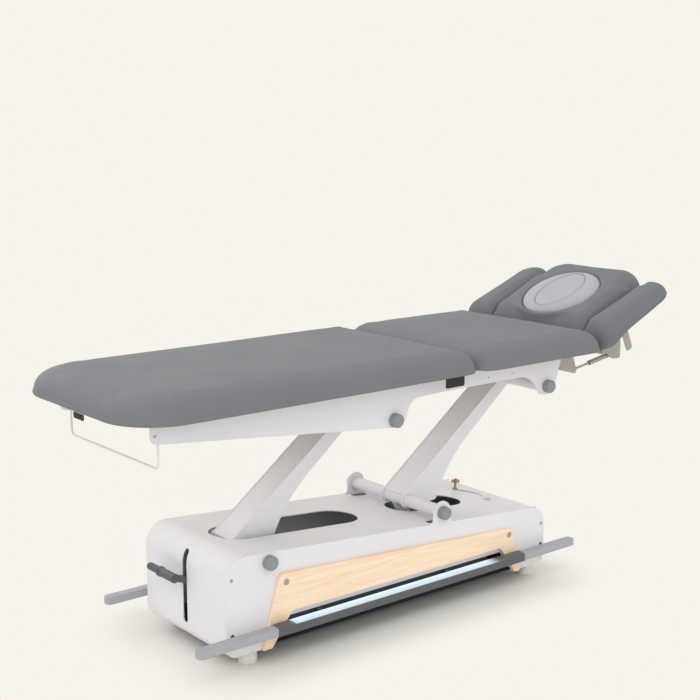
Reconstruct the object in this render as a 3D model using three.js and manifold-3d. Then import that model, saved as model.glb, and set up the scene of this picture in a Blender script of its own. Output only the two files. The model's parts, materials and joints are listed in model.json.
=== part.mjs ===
// A three-section electric treatment table: a wedge-shaped sheet-metal base, two parallel lift arms,
// a top frame with upholstered sections, and a head section that tilts.
// Millimetres, +Z up, X along the table with the head end at +X, Y across it, the floor at Z = 0.

import * as THREE from "three";
import { mergeVertices } from "three/addons/utils/BufferGeometryUtils.js";
import Module from "manifold-3d";

const wasm = await Module();
wasm.setup();

const { degToRad, lerp, clamp, smoothstep } = THREE.MathUtils;

// Fits that every piece shares
const fitGap = 0.3; // between two pieces that touch
const boreGap = 0.3; // all round a shaft in its bore
const sideGap = 0.5; // between plates that slide past each other
const cutOverrun = 25; // how far a cutting shape runs past the face that it cuts

// Base: a wedge of folded sheet, higher at the foot end
const baseFootEndX = -681;
const baseLength = 1213;
const baseWidth = 410;
const baseFootEndHeight = 278.7;
const baseHeadEndHeight = 185.5;
const baseTopCornerRadius = 60;
const baseBottomCornerRadius = 30;
const coverSheet = 3;
const coverBottomLip = 60;
const sidePlateThickness = 5;

// Feet
const footHeight = 38;
const footDiameter = 52;
const footBevel = 4;
const footCollarDiameter = 30;
const footInsetFootEnd = 87;
const footInsetHeadEnd = 48;
const footSpacingY = 342;

// Openings in the cover, measured from the base's foot end
const leverSlotWidth = 22;
const leverSlotLowZ = 80;
const leverSlotHighZ = 289;
const footArmOpening = { start: 91, length: 500, width: 144 };
const headArmOpening = { start: 736, length: 280, width: 130 };
const earOpening = { start: 731, length: 60, width: 25, offsetY: 177 };

// Chassis inside the base
const chassisSheet = 3;
const channelHalfWidth = 140;
const channelTopZ = 124;
const channelInset = 190;
const bracketSheet = 4;
const bracketHalfWidth = 16;

// Wood panels on the sides of the base; the corners are shares of length, height and radius
const woodThickness = 11.5;
const woodInsetFootEnd = 108;
const woodInsetHeadEnd = 118;
const woodFootHeight = 203;
const woodCornerRadius = 14;
const archTopLip = 15.6; // the side plate shows this much below the wood's arch
const archEndLip = 0.5; // and this much beside its ends
const woodCornerShares = [
  [0, 0, 0],
  [0.0304, 0, 0],
  [0.0983, 0.4463, 1],
  [0.9098, 0.4463, 1],
  [0.979, 0, 0],
  [1, 0, 0],
  [0.9828, 0.33, 0],
  [0.9585, 0.7241, 1],
  [0.0598, 1, 1],
  [0.0172, 0.2956, 0],
];

// Control bars along both sides
const barOverhangFootEnd = 117;
const barOverhangHeadEnd = 95;
const barWidth = 35;
const barHeight = 25.5;
const barTopZ = 110;
const barFromWood = 6;
const barEndRadius = 10;
const barStemDiameter = 12;
const barStemInside = 10;
const barStemPlaceShares = [0.3, 0.64];
const barTravel = 10;

// Light strips under the arches
const lightStripHeight = 7;
const lightStripDepth = 10;
const lightStripInset = 3;

// Lift linkage
const footPivotInset = 136; // from the base's foot end
const footPivotZ = 280;
const pivotSpacing = 632;
const pivotRise = 11;
const armLength = 528;
const armWidth = 96;
const armCheek = 4; // thickness of the cheek plates
const armReveal = 1.5; // the web lies this far inside the cheek plates' edges
const armHubRadius = 25;
const armFlare = 90;
const armFlareRadius = 420;
const liftRestAngle = degToRad(39.1);
const crossTubeDiameter = 39.5;
const axleDiameter = 20;
const earRadius = 34;
const earFillet = 12;
const armCornerShares = [
  [0, -0.27, 0],
  [0.15, -1, 0.038],
  [0.379, -0.35, 1],
  [1, -0.35, 0],
  [1, 0.087, 0],
  [0, 0.272, 0],
]; // along the arm's length, across its flare, and of the flare's radius

// Pivot caps
const capDiameter = 40;
const capLength = 22;
const capBevel = 2;
const capSocketDepth = 10;

// Actuator in the base
const actuatorHingeInset = 301; // from the base's foot end
const actuatorHingeZ = 110;
const actuatorTubeDiameter = 44;
const actuatorTubeEnd = 380;
const actuatorBoreDepth = 175;
const actuatorRodDiameter = 22;
const actuatorRodLength = 165;
const motorLength = 120;
const motorBack = 30;
const motorSize = 60;
const motorBracketInnerY = 32;
const trunnionDiameter = 14;
const clevisReach = 60;
const clevisRoot = 18;
const clevisWidth = 32;
const clevisEye = 15;
const leverThickness = 12;
const leverRadius = 120;
const leverTipRadius = 20;
const leverRootWidth = 40;
const leverFromArm = degToRad(-103.1);

// Top frame, measured from the foot arm's upper pivot
const railSpacing = 482; // over the outer faces
const railThickness = 6;
const railJoggle = 8;
const joggleStart = 115;
const joggleLength = 80;
const railTopZ = 109;
const railFootReach = 778;
const railHeadReach = 68; // past the head arm's upper pivot
const railFootDepth = 54;
const stripRailDepth = 56;
const railBelowPivot = 26;
const railLobeReach = 39;
const railLobeRadius = 38;
const railStepLength = 20;
const railStepRadius = 48;
const railEndRadius = 20;
const railEndSlant = 16;
const headLobeReach = 72;
const headLobeFillet = 90;
const headLobeRadius = 26;
const headLobeCorner = 20;
const headLobeWidth = 56;
const railFlangeWidth = 30;
const railFlangeThickness = 4;
const railFlangeInset = 60;
const crossbarInset = 75;
const crossbarWidth = 30;
const crossbarHeight = 20;

// Upholstered sections
const cushionWidth = 650;
const cushionThickness = 72;
const cushionOverRail = 1;
const cushionFootOverhang = 91;
const legCushionEnd = 266; // from the foot arm's upper pivot
const midCushionLength = 540;
const cushionSeam = 3;
const legFootCornerRadius = 95;
const cushionCornerRadius = 55;
const cushionCrown = 12;
const cushionRound = 14;
const cushionEdgeShares = [
  [0.95, 0],
  [0.35, 0.1],
  [0, 0.3],
  [0, 0.6],
  [0.3, 0.87],
  [1, 1],
]; // inset of the edge's round, and height up to the crown
const crownShares = [0.15, 0.4, 0.7]; // from the edge to the middle
const boardThickness = 12;
const boardInset = 30;
const boardCornerRadius = 20;

// Head section, measured from its own hinge along and across its slope
const headHingeGap = 1;
const headHingeDrop = 11; // below the cushions' undersides
const headRestAngle = degToRad(24.5);
const headLength = 405;
const headCushionWidth = 404;
const headRootClearance = 12;
const headRootLean = 28;
const headRootLeanLength = 130;
const headFarCornerRadius = 95;
const headRootCornerRadius = 16;
const headFrameThickness = 10;
const headFrameWidth = 376;
const headFrameRoot = 44;
const headFrameEnd = 372;
const headTubeDiameter = 14;
const headTongueWidth = 40;
const headTongueY = 130;
const headTongueHalf = 6;
const hingePlateThickness = 6;
const hingePlateLength = 172;
const hingePlateDepth = 67;
const hingePlateShares = [
  [-1, -0.18, 0],
  [-0.65, -0.18, 0],
  [-0.62, -0.72, 0],
  [-0.23, -1, 0.12],
  [-0.18, -0.88, 0.06],
  [-0.28, -0.18, 0],
  [0, -0.15, 0],
]; // along the plate's length, and of its depth, and corner radii of its depth

// Arm pads at both sides of the head section
const padSeam = 4;
const padLength = 374;
const padTipInnerRadius = 34;
const padTipOuterRadius = 72;
const padRootCornerRadius = 30;
const padSeamCornerRadius = 16;
const padTipSweep = 8;
const padCrown = 9;
const padHingeReach = 30;
const padHingeDrop = 8;
const padHangerPlace = 146;
const padHangerWidth = 28;
const padHangerDrop = 84;
const padHangerThickness = 4;
const padBracketInnerY = 240;
const padBracketWidth = 44;
const padBracketThickness = 8;
const padBracketLength = 250;
const padKnuckleRadius = 12;

// Face plug in its hole
const plugCentre = 190;
const plugDiameter = 264;
const plugSeatDepth = 16;
const plugStandUp = 9;
const plugEdgeRound = 12;
const plugSeatGap = 2;
const plugStemDiameter = 190;
const plugStemLength = 30;
const plugDishLength = 205;
const plugDishWidth = 134;
const plugDishDepth = 3;

// Tilt strut under the head section
const strutPlaneY = 188;
const strutFootX = -2; // from the head hinge
const strutFootZ = -65;
const strutHeadX = 174;
const strutHeadZ = -36;
const strutTubeX = -51;
const strutTubeZ = -52;
const strutCylinderDiameter = 16;
const strutRodDiameter = 8;
const strutCylinderLength = 104;
const strutRodLength = 100;
const strutBoreDepth = 92;
const strutEyeRadius = 10;
const strutEyeWidth = 8;
const strutBoltDiameter = 8;
const lugThickness = 4;
const lugRootWidth = 64;
const lugTipRadius = 15;
const lugFromStrut = 10; // from the strut's plane to the lugs' inner faces

// Paper-roll holder
const paperWireDiameter = 6;
const paperInset = 27; // from the rails' foot end
const paperReach = 227;
const paperDrop = 122;
const paperBend = 14;
const paperPlateLength = 34;
const paperPlateWidth = 16;
const paperPlateThickness = 3;

// Castor lever, and the carriage with its wheels
const castorPivotInset = 141;
const castorPivotZ = 150;
const castorRestAngle = degToRad(20.8);
const castorReach = 192;
const castorShankHeight = 18;
const castorShankWidth = 16;
const castorHubRadius = 14;
const castorPinDiameter = 12;
const castorBracketInnerY = 12;
const castorPushRadius = 27;
const pushPostHalf = 5;
const pushPostGap = 4;
const pedalStart = -14;
const pedalLength = 140;
const pedalInnerDiameter = 26;
const pedalOuterDiameter = 20;
const pedalCollarDiameter = 29;
const pedalCollarWidth = 8;
const pedalCollarShare = 0.5;
const wheelDiameter = 60;
const wheelWidth = 26;
const wheelAxleDiameter = 10;
const wheelInsetFootEnd = 161;
const wheelInsetHeadEnd = 122;
const wheelSpacingY = 220;
const wheelLift = 12;
const wheelHoleMargin = 5;
const wheelTopGap = 4;
const forkThickness = 4;
const forkWidth = 36;
const forkLength = 32;
const carriageThickness = 8;
const carriageEnd = 40;
const crossbarOffset = 43;
const crossbarSize = 22;
const guidePostDiameter = 10;
const guidePostTopZ = 108;
const guidePostInset = 70;

// Electrics
const controlBoxLength = 160;
const controlBoxWidth = 150;
const controlBoxHeight = 90;
const controlBoxInset = 132;
const inletWidth = 46;
const inletHeight = 36;
const inletFlange = 4;
const inletPlate = 3;
const inletBodyDepth = 28;
const inletSocketDepth = 20;
const inletZ = 96;
const inletY = 110;

// Lock key, its tether and the tether's button, measured from the base's head end
const keyInset = 115;
const keyY = 87;
const keyHeight = 36;
const keyDepth = 20;
const keyStemDiameter = 9;
const keyHandleLength = 30;
const keyHandleDiameter = 8;
const keyCollarDiameter = 18;
const keyCollarHeight = 4;
const keyHoleGap = 1;
const tetherDiameter = 3;
const tetherSteps = 20;
const tetherButtonDiameter = 23;
const tetherButtonHeight = 7;
const tetherButtonInset = 111;
const tetherButtonY = -57;
const buttonCrownShare = 0.75;
const tetherPoints = [
  [115, 77],
  [113, 66],
  [106, 52],
  [97, 34],
  [91, 12],
  [92, -10],
  [98, -27],
  [106, -37],
  [110, -44.8],
]; // distance from the base's head end, and Y

// Smoothness of round forms, as counts and shares
const arcSteps = 5;
const fewArcSteps = 3;
const shaftSides = 14;
const smallSides = 8;
const cordSides = 8;
const wheelSides = 14;
const plugSides = 28;
const roundEndShare = 0.999;
const bendSteps = 4;
const weldDistance = 1e-4;

// Values worked out from the sizes above
const baseHeadEndX = baseFootEndX + baseLength;
const baseHalfWidth = baseWidth / 2;
const baseBottomZ = footHeight;
const sidePlateInnerY = baseHalfWidth - sidePlateThickness;
const floorZ = baseBottomZ + coverSheet + fitGap;
const floorTopZ = floorZ + chassisSheet;
const woodFootX = baseFootEndX + woodInsetFootEnd;
const woodLength = baseLength - woodInsetFootEnd - woodInsetHeadEnd;
const woodOuterY = baseHalfWidth + fitGap + woodThickness;
const barFootX = baseFootEndX - barOverhangFootEnd;
const barLength = baseLength + barOverhangFootEnd + barOverhangHeadEnd;
const barInnerY = woodOuterY + barFromWood;
const barCentreZ = barTopZ - barHeight / 2;
const footPivot = new THREE.Vector2(baseFootEndX + footPivotInset, footPivotZ);
const headPivot = new THREE.Vector2(pivotSpacing, pivotRise).add(footPivot);
const upperPivot = new THREE.Vector2(armLength, 0)
  .rotateAround(new THREE.Vector2(), liftRestAngle)
  .add(footPivot);
const railOuterY = railSpacing / 2;
const railInnerY = railOuterY - railThickness;
const stripOuterY = railOuterY - railJoggle;
const stripInnerY = stripOuterY - railThickness;
const railHeadEnd = pivotSpacing + railHeadReach;
const cushionBottomZ = railTopZ + cushionOverRail;
const headHinge = new THREE.Vector2(
  legCushionEnd + midCushionLength + headHingeGap,
  cushionBottomZ - headHingeDrop,
);
const channelFootX = baseFootEndX + channelInset;
const channelHeadX = baseHeadEndX - channelInset;
const castorPivotX = baseFootEndX + castorPivotInset;
const actuatorHinge = new THREE.Vector2(baseFootEndX + actuatorHingeInset, actuatorHingeZ);
const wheelCentreZ = wheelLift + wheelDiameter / 2;
const wheelPlaces = [
  ["foot_end", baseFootEndX + wheelInsetFootEnd],
  ["head_end", baseHeadEndX - wheelInsetHeadEnd],
];
const guidePostPlaces = [wheelPlaces[0][1] + guidePostInset, wheelPlaces[1][1] - guidePostInset];
const strutFoot = new THREE.Vector2(strutFootX, strutFootZ);
const strutHead = new THREE.Vector2(strutHeadX, strutHeadZ);
const lugOuterY = strutPlaneY - lugFromStrut;
const headCushionZ = headFrameThickness + fitGap;
const plugSeatZ = headCushionZ + cushionThickness - plugSeatDepth;
const plugTopZ = headCushionZ + cushionThickness + plugStandUp;
const padOuterY = cushionWidth / 2;
const padInnerY = headCushionWidth / 2 + padSeam;
const keyX = baseHeadEndX - keyInset;
const tetherButtonX = baseHeadEndX - tetherButtonInset;
const tableSides = [
  ["front", -1],
  ["back", 1],
];

// Colour, roughness and metalness of each finish
const finishes = {
  whiteMetal: [0xe4e3e6, 0.4, 0.1],
  darkSteel: [0x3a3b3e, 0.5, 0.6],
  steel: [0x9a9a9c, 0.35, 0.8],
  capPlastic: [0x8c8f96, 0.55, 0],
  barPlastic: [0x6a6b70, 0.55, 0],
  maple: [0xfde0c4, 0.5, 0],
  lamp: [0xe1f5fa, 0.4, 0],
  rubber: [0x2a2a2c, 0.8, 0],
  blackPlastic: [0x1d1d1f, 0.5, 0],
  footPlastic: [0xd8d7d4, 0.6, 0],
  upholstery: [0x88898d, 0.6, 0],
  plugVinyl: [0xbebcc0, 0.55, 0],
  plywood: [0xc9a678, 0.7, 0],
  greigeMetal: [0x9b948e, 0.45, 0.4],
  bronze: [0x9c8a6a, 0.4, 0.7],
};

const table = new THREE.Group();
const top = new THREE.Group();
top.position.set(upperPivot.x, 0, upperPivot.y);
table.add(top);
const head = new THREE.Group();
head.position.set(headHinge.x, 0, headHinge.y);
head.rotation.y = -headRestAngle;
top.add(head);

// Solids: manifold-3d joins and cuts closed meshes whose corners are merged.

function solid(geometry) {
  const bare = geometry.clone();
  bare.deleteAttribute("normal");
  bare.deleteAttribute("uv");
  const merged = mergeVertices(bare, weldDistance);
  return new wasm.Manifold(
    new wasm.Mesh({
      numProp: 3,
      vertProperties: merged.attributes.position.array,
      triVerts: new Uint32Array(merged.index.array),
    }),
  );
}

function join(...geometries) {
  return geometries.map(solid).reduce((whole, next) => whole.add(next));
}

function cutFrom(body, geometries) {
  return geometries.map(solid).reduce((whole, next) => whole.subtract(next), body);
}

function geometryOf(body) {
  const mesh = body.getMesh();
  const geometry = new THREE.BufferGeometry();
  geometry.setAttribute("position", new THREE.BufferAttribute(mesh.vertProperties, 3));
  geometry.setIndex(new THREE.BufferAttribute(mesh.triVerts, 1));
  const flat = geometry.toNonIndexed();
  flat.computeVertexNormals();
  return flat;
}

function addPiece(parent, name, shape, finish) {
  const geometry = shape.isBufferGeometry ? shape : geometryOf(shape);
  const [color, roughness, metalness] = finishes[finish];
  const mesh = new THREE.Mesh(geometry, new THREE.MeshStandardMaterial({ color, roughness, metalness }));
  mesh.name = name;
  parent.add(mesh);
}

// Outlines, always counterclockwise

// Points of an outline from corners [x, y, radius], with its round corners as arcs.
function outlinePoints(corners, steps = arcSteps) {
  const points = [];
  corners.forEach(([x, y, radius = 0], index) => {
    const corner = new THREE.Vector2(x, y);
    if (!radius) {
      points.push(corner);
      return;
    }
    const [beforeX, beforeY] = corners.at(index - 1);
    const [afterX, afterY] = corners[(index + 1) % corners.length];
    const back = new THREE.Vector2(beforeX, beforeY).sub(corner).normalize();
    const ahead = new THREE.Vector2(afterX, afterY).sub(corner).normalize();
    const halfAngle = Math.acos(clamp(back.dot(ahead), -1, 1)) / 2;
    const middle = back.clone().add(ahead).normalize();
    const centre = corner.clone().addScaledVector(middle, radius / Math.sin(halfAngle));
    const spoke = corner.clone().addScaledVector(back, radius / Math.tan(halfAngle)).sub(centre);
    const turn = -Math.sign(back.cross(ahead)) * (Math.PI - 2 * halfAngle);
    for (let step = 0; step <= steps; step++) {
      const turnedSpoke = spoke.clone().rotateAround(new THREE.Vector2(), (turn * step) / steps);
      points.push(turnedSpoke.add(centre));
    }
  });
  return points;
}

// The outline moved inwards by one distance.
function insetOutline(points, distance) {
  return points.map((point, index) => {
    const after = points[(index + 1) % points.length];
    const along = point.clone().sub(points.at(index - 1)).normalize();
    const onward = after.clone().sub(point).normalize();
    const normal = new THREE.Vector2(-along.y, along.x);
    const middle = new THREE.Vector2(-onward.y, onward.x).add(normal).normalize();
    return point.clone().addScaledVector(middle, distance / middle.dot(normal));
  });
}

function stadium(low, high, across, halfWidth) {
  const radius = halfWidth * roundEndShare;
  return outlinePoints([
    [low, across - halfWidth, radius],
    [high, across - halfWidth, radius],
    [high, across + halfWidth, radius],
    [low, across + halfWidth, radius],
  ]);
}

function ellipse(length, width, steps) {
  return Array.from({ length: steps }, (_, step) => {
    const angle = (2 * Math.PI * step) / steps;
    return new THREE.Vector2((Math.cos(angle) * length) / 2, (Math.sin(angle) * width) / 2);
  });
}

// The same outline with its two axes swapped.
function swapped(points) {
  return points.map((point) => new THREE.Vector2(point.y, point.x)).reverse();
}

// A plan outline on the far side, or its mirror image on the near side.
function planOnSide(points, side) {
  const plan = points.map((point) => new THREE.Vector2(point.x, side * point.y));
  return side > 0 ? plan : plan.reverse();
}

// A range on the near (-1) or far (+1) side, from its inner to its outer distance.
function onSide(side, inner, outer) {
  return side < 0 ? [-outer, -inner] : [inner, outer];
}

// Extrusions, rods, blocks and turned shapes

function slabAlongZ(outline, zLow, zHigh) {
  const options = { depth: zHigh - zLow, bevelEnabled: false };
  return new THREE.ExtrudeGeometry(new THREE.Shape(outline), options).translate(0, 0, zLow);
}

function slabAlongY(outline, yLow, yHigh) {
  return slabAlongZ(outline, -yHigh, -yLow).rotateX(Math.PI / 2);
}

function slabAlongX(outline, xLow, xHigh) {
  return slabAlongZ(outline, xLow, xHigh)
    .rotateX(Math.PI / 2)
    .rotateZ(Math.PI / 2);
}

function rodAlongY(radius, yLow, yHigh, x, z, sides = shaftSides) {
  const rod = new THREE.CylinderGeometry(radius, radius, yHigh - yLow, sides);
  return rod.translate(x, (yLow + yHigh) / 2, z);
}

function rodAlongX(radius, xLow, xHigh, y, z, sides = shaftSides) {
  const rod = new THREE.CylinderGeometry(radius, radius, xHigh - xLow, sides);
  return rod.rotateZ(Math.PI / 2).translate((xLow + xHigh) / 2, y, z);
}

function rodAlongZ(radius, zLow, zHigh, x, y, sides = shaftSides) {
  const rod = new THREE.CylinderGeometry(radius, radius, zHigh - zLow, sides);
  return rod.rotateX(Math.PI / 2).translate(x, y, (zLow + zHigh) / 2);
}

function block(xLow, xHigh, yLow, yHigh, zLow, zHigh) {
  const box = new THREE.BoxGeometry(xHigh - xLow, yHigh - yLow, zHigh - zLow);
  return box.translate((xLow + xHigh) / 2, (yLow + yHigh) / 2, (zLow + zHigh) / 2);
}

// A profile of [radius, height] pairs, from the bottom up, turned about the vertical axis.
function turned(profile, sides = shaftSides) {
  const points = profile.map(([radius, height]) => new THREE.Vector2(radius, height));
  return new THREE.LatheGeometry(points, sides).rotateX(Math.PI / 2);
}

// Base

function baseTopZ(x) {
  const share = (x - baseFootEndX) / baseLength;
  return baseBottomZ + lerp(baseFootEndHeight, baseHeadEndHeight, share);
}

function buildCover() {
  const halfDepth = sidePlateInnerY - fitGap;
  const outline = outlinePoints([
    [baseFootEndX, baseBottomZ, baseBottomCornerRadius],
    [baseHeadEndX, baseBottomZ, baseBottomCornerRadius],
    [baseHeadEndX, baseTopZ(baseHeadEndX), baseTopCornerRadius],
    [baseFootEndX, baseTopZ(baseFootEndX), baseTopCornerRadius],
  ]);
  const highest = baseTopZ(baseFootEndX) + cutOverrun;
  const lowest = baseTopZ(baseHeadEndX) - baseTopCornerRadius;
  const topCut = ({ start, length, width, offsetY = 0 }) => {
    const low = baseFootEndX + start;
    return slabAlongZ(stadium(low, low + length, offsetY, width / 2), lowest, highest);
  };
  const slot = swapped(stadium(leverSlotLowZ, leverSlotHighZ, 0, leverSlotWidth / 2));
  const inletHoleHalfY = inletWidth / 2 - inletFlange;
  const inletHoleHalfZ = inletHeight / 2 - inletFlange;
  const cuts = [
    slabAlongY(insetOutline(outline, coverSheet), -baseWidth, baseWidth),
    block(
      baseFootEndX + coverBottomLip,
      baseHeadEndX - coverBottomLip,
      -baseWidth,
      baseWidth,
      baseBottomZ - cutOverrun,
      baseBottomZ + cutOverrun,
    ),
    slabAlongX(slot, baseFootEndX - cutOverrun, baseFootEndX + cutOverrun),
    block(
      baseHeadEndX - cutOverrun,
      baseHeadEndX + cutOverrun,
      inletY - inletHoleHalfY,
      inletY + inletHoleHalfY,
      inletZ - inletHoleHalfZ,
      inletZ + inletHoleHalfZ,
    ),
    rodAlongZ(keyStemDiameter / 2 + keyHoleGap, lowest, highest, keyX, keyY, smallSides),
    topCut(footArmOpening),
    topCut(headArmOpening),
    topCut(earOpening),
    topCut({ ...earOpening, offsetY: -earOpening.offsetY }),
  ];
  const footHole = footCollarDiameter / 2 + sideGap;
  for (const [, x, y] of footPlaces())
    cuts.push(rodAlongZ(footHole, baseBottomZ - cutOverrun, baseBottomZ + cutOverrun, x, y));
  const wedge = solid(slabAlongY(outline, -halfDepth, halfDepth));
  addPiece(table, "base_cover", cutFrom(wedge, cuts), "whiteMetal");
}

function woodOutline() {
  const corners = woodCornerShares.map(([along, up, radius]) => [
    woodFootX + along * woodLength,
    baseBottomZ + up * woodFootHeight,
    radius * woodCornerRadius,
  ]);
  return outlinePoints(corners, fewArcSteps);
}

// A corner of the wood's arch; the side plate's arch lies inside it by the lips.
function archCorner(index) {
  const [along, up] = woodCornerShares[index];
  return new THREE.Vector2(woodFootX + along * woodLength, baseBottomZ + up * woodFootHeight);
}

function sidePlateOutline() {
  const [footLow, footHigh, headHigh, headLow] = [1, 2, 3, 4].map(archCorner);
  const archZ = footHigh.y - archTopLip;
  const archShare = (archZ - baseBottomZ) / (footHigh.y - baseBottomZ);
  const archFootX = lerp(footLow.x, footHigh.x, archShare) + archEndLip;
  const archHeadX = lerp(headLow.x, headHigh.x, archShare) - archEndLip;
  const earLow = headPivot.x - earRadius;
  const earHigh = headPivot.x + earRadius;
  const earTop = headPivot.y + earRadius;
  const earRound = earRadius * roundEndShare;
  return outlinePoints([
    [baseFootEndX, baseBottomZ, baseBottomCornerRadius],
    [footLow.x + archEndLip, baseBottomZ],
    [archFootX, archZ, woodCornerRadius],
    [archHeadX, archZ, woodCornerRadius],
    [headLow.x - archEndLip, baseBottomZ],
    [baseHeadEndX, baseBottomZ, baseBottomCornerRadius],
    [baseHeadEndX, baseTopZ(baseHeadEndX), baseTopCornerRadius],
    [earHigh, baseTopZ(earHigh), earFillet],
    [earHigh, earTop, earRound],
    [earLow, earTop, earRound],
    [earLow, baseTopZ(earLow), earFillet],
    [baseFootEndX, baseTopZ(baseFootEndX), baseTopCornerRadius],
  ]);
}

function buildSides() {
  const bore = axleDiameter / 2 + boreGap;
  const plateOutline = sidePlateOutline();
  for (const [label, side] of tableSides) {
    const plateY = onSide(side, sidePlateInnerY, baseHalfWidth);
    const bores = [footPivot, headPivot].map((pivot) =>
      rodAlongY(bore, -baseWidth, baseWidth, pivot.x, pivot.y),
    );
    const plate = cutFrom(solid(slabAlongY(plateOutline, ...plateY)), bores);
    addPiece(table, `side_plate_${label}`, plate, "whiteMetal");
    const woodY = onSide(side, baseHalfWidth + fitGap, woodOuterY);
    addPiece(table, `wood_panel_${label}`, slabAlongY(woodOutline(), ...woodY), "maple");
    const lampOuter = sidePlateInnerY - fitGap - lightStripInset;
    const lampY = onSide(side, lampOuter - lightStripDepth, lampOuter);
    const lampTop = channelTopZ - chassisSheet - fitGap;
    const lampX = [channelFootX + lightStripInset, channelHeadX - lightStripInset];
    const lamp = block(...lampX, ...lampY, lampTop - lightStripHeight, lampTop);
    addPiece(table, `light_strip_${label}`, lamp, "lamp");
  }
}

function footPlaces() {
  const places = [];
  for (const [end, x] of [
    ["foot_end", baseFootEndX + footInsetFootEnd],
    ["head_end", baseHeadEndX - footInsetHeadEnd],
  ])
    for (const [label, side] of tableSides) places.push([`${end}_${label}`, x, (side * footSpacingY) / 2]);
  return places;
}

function buildFeet() {
  const radius = footDiameter / 2;
  const profile = [
    [0, 0],
    [radius - footBevel, 0],
    [radius, footBevel],
    [radius, footHeight - fitGap],
    [footCollarDiameter / 2, footHeight - fitGap],
    [footCollarDiameter / 2, floorZ - fitGap],
    [0, floorZ - fitGap],
  ];
  for (const [label, x, y] of footPlaces())
    addPiece(table, `foot_${label}`, turned(profile).translate(x, y, 0), "footPlastic");
}

function buildChassis() {
  const halfFloor = sidePlateInnerY - fitGap;
  const floorFootX = baseFootEndX + baseBottomCornerRadius + fitGap;
  const floorHeadX = baseHeadEndX - baseBottomCornerRadius - fitGap;
  const channelX = [channelFootX, channelHeadX];
  const parts = [block(floorFootX, floorHeadX, -halfFloor, halfFloor, floorZ, floorTopZ)];
  const cuts = [];
  const wallY = [channelHalfWidth, channelHalfWidth + chassisSheet];
  for (const [, side] of tableSides) {
    parts.push(block(...channelX, ...onSide(side, ...wallY), floorZ, channelTopZ));
    const flangeY = onSide(side, channelHalfWidth, halfFloor);
    parts.push(block(...channelX, ...flangeY, channelTopZ - chassisSheet, channelTopZ));
    const castorBracketY = onSide(side, castorBracketInnerY, castorBracketInnerY + bracketSheet);
    parts.push(
      block(
        castorPivotX - bracketHalfWidth,
        castorPivotX + bracketHalfWidth,
        ...castorBracketY,
        floorZ,
        castorPivotZ + bracketHalfWidth,
      ),
    );
    const motorBracketY = onSide(side, motorBracketInnerY, motorBracketInnerY + bracketSheet);
    parts.push(
      block(
        actuatorHinge.x - bracketHalfWidth,
        actuatorHinge.x + bracketHalfWidth,
        ...motorBracketY,
        floorZ,
        actuatorHinge.y + bracketHalfWidth,
      ),
    );
    const postY = (side * wheelSpacingY) / 2;
    for (const x of guidePostPlaces)
      parts.push(rodAlongZ(guidePostDiameter / 2, floorZ, guidePostTopZ, x, postY, smallSides));
    for (const [, x] of wheelPlaces)
      cuts.push(
        block(
          x - wheelDiameter / 2 - wheelHoleMargin,
          x + wheelDiameter / 2 + wheelHoleMargin,
          (side * wheelSpacingY - forkWidth) / 2 - wheelHoleMargin,
          (side * wheelSpacingY + forkWidth) / 2 + wheelHoleMargin,
          floorZ - cutOverrun,
          floorTopZ + fitGap,
        ),
      );
    for (const share of barStemPlaceShares) {
      const x = barFootX + share * barLength;
      const reach = barTravel + barStemDiameter / 2 + sideGap;
      const [yLow, yHigh] = onSide(side, channelHalfWidth - cutOverrun, channelHalfWidth + cutOverrun);
      const half = barStemDiameter / 2 + boreGap;
      cuts.push(slabAlongY(stadium(x - reach, x + reach, barCentreZ, half), yLow, yHigh));
    }
  }
  const castorBore = castorPinDiameter / 2 + boreGap;
  const trunnionBore = trunnionDiameter / 2 + boreGap;
  cuts.push(
    rodAlongY(castorBore, -baseWidth, baseWidth, castorPivotX, castorPivotZ),
    rodAlongY(trunnionBore, -baseWidth, baseWidth, actuatorHinge.x, actuatorHinge.y),
  );
  addPiece(table, "base_chassis", cutFrom(join(...parts), cuts), "darkSteel");
}

function buildElectrics() {
  const boxHead = baseHeadEndX - controlBoxInset;
  const boxZ = floorTopZ + fitGap;
  const box = block(
    boxHead - controlBoxLength,
    boxHead,
    -controlBoxWidth / 2,
    controlBoxWidth / 2,
    boxZ,
    boxZ + controlBoxHeight,
  );
  addPiece(table, "control_box", box, "blackPlastic");
  const halfY = inletWidth / 2;
  const halfZ = inletHeight / 2;
  const bodyY = halfY - inletFlange - fitGap;
  const bodyZ = halfZ - inletFlange - fitGap;
  const face = baseHeadEndX + fitGap;
  const plateFace = [inletY - halfY, inletY + halfY, inletZ - halfZ, inletZ + halfZ];
  const plate = block(face, face + inletPlate, ...plateFace);
  const body = block(
    baseHeadEndX - inletBodyDepth,
    face + inletPlate,
    inletY - bodyY,
    inletY + bodyY,
    inletZ - bodyZ,
    inletZ + bodyZ,
  );
  const socket = block(
    baseHeadEndX - inletSocketDepth,
    face + inletPlate + cutOverrun,
    inletY - bodyY + inletFlange,
    inletY + bodyY - inletFlange,
    inletZ - bodyZ + inletFlange,
    inletZ + bodyZ - inletFlange,
  );
  addPiece(table, "power_inlet", cutFrom(join(plate, body), [socket]), "blackPlastic");
}

// Axles and caps: a cap's blind socket takes the end of its axle.

function capGeometry(side, faceY) {
  const radius = capDiameter / 2;
  const socket = axleDiameter / 2 + boreGap;
  const profile = [
    [0, capSocketDepth],
    [socket, capSocketDepth],
    [socket, 0],
    [radius, 0],
    [radius, capLength - capBevel],
    [radius - capBevel, capLength],
    [0, capLength],
  ];
  return turned(profile)
    .rotateX((-side * Math.PI) / 2)
    .translate(0, side * (faceY + fitGap), 0);
}

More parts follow.
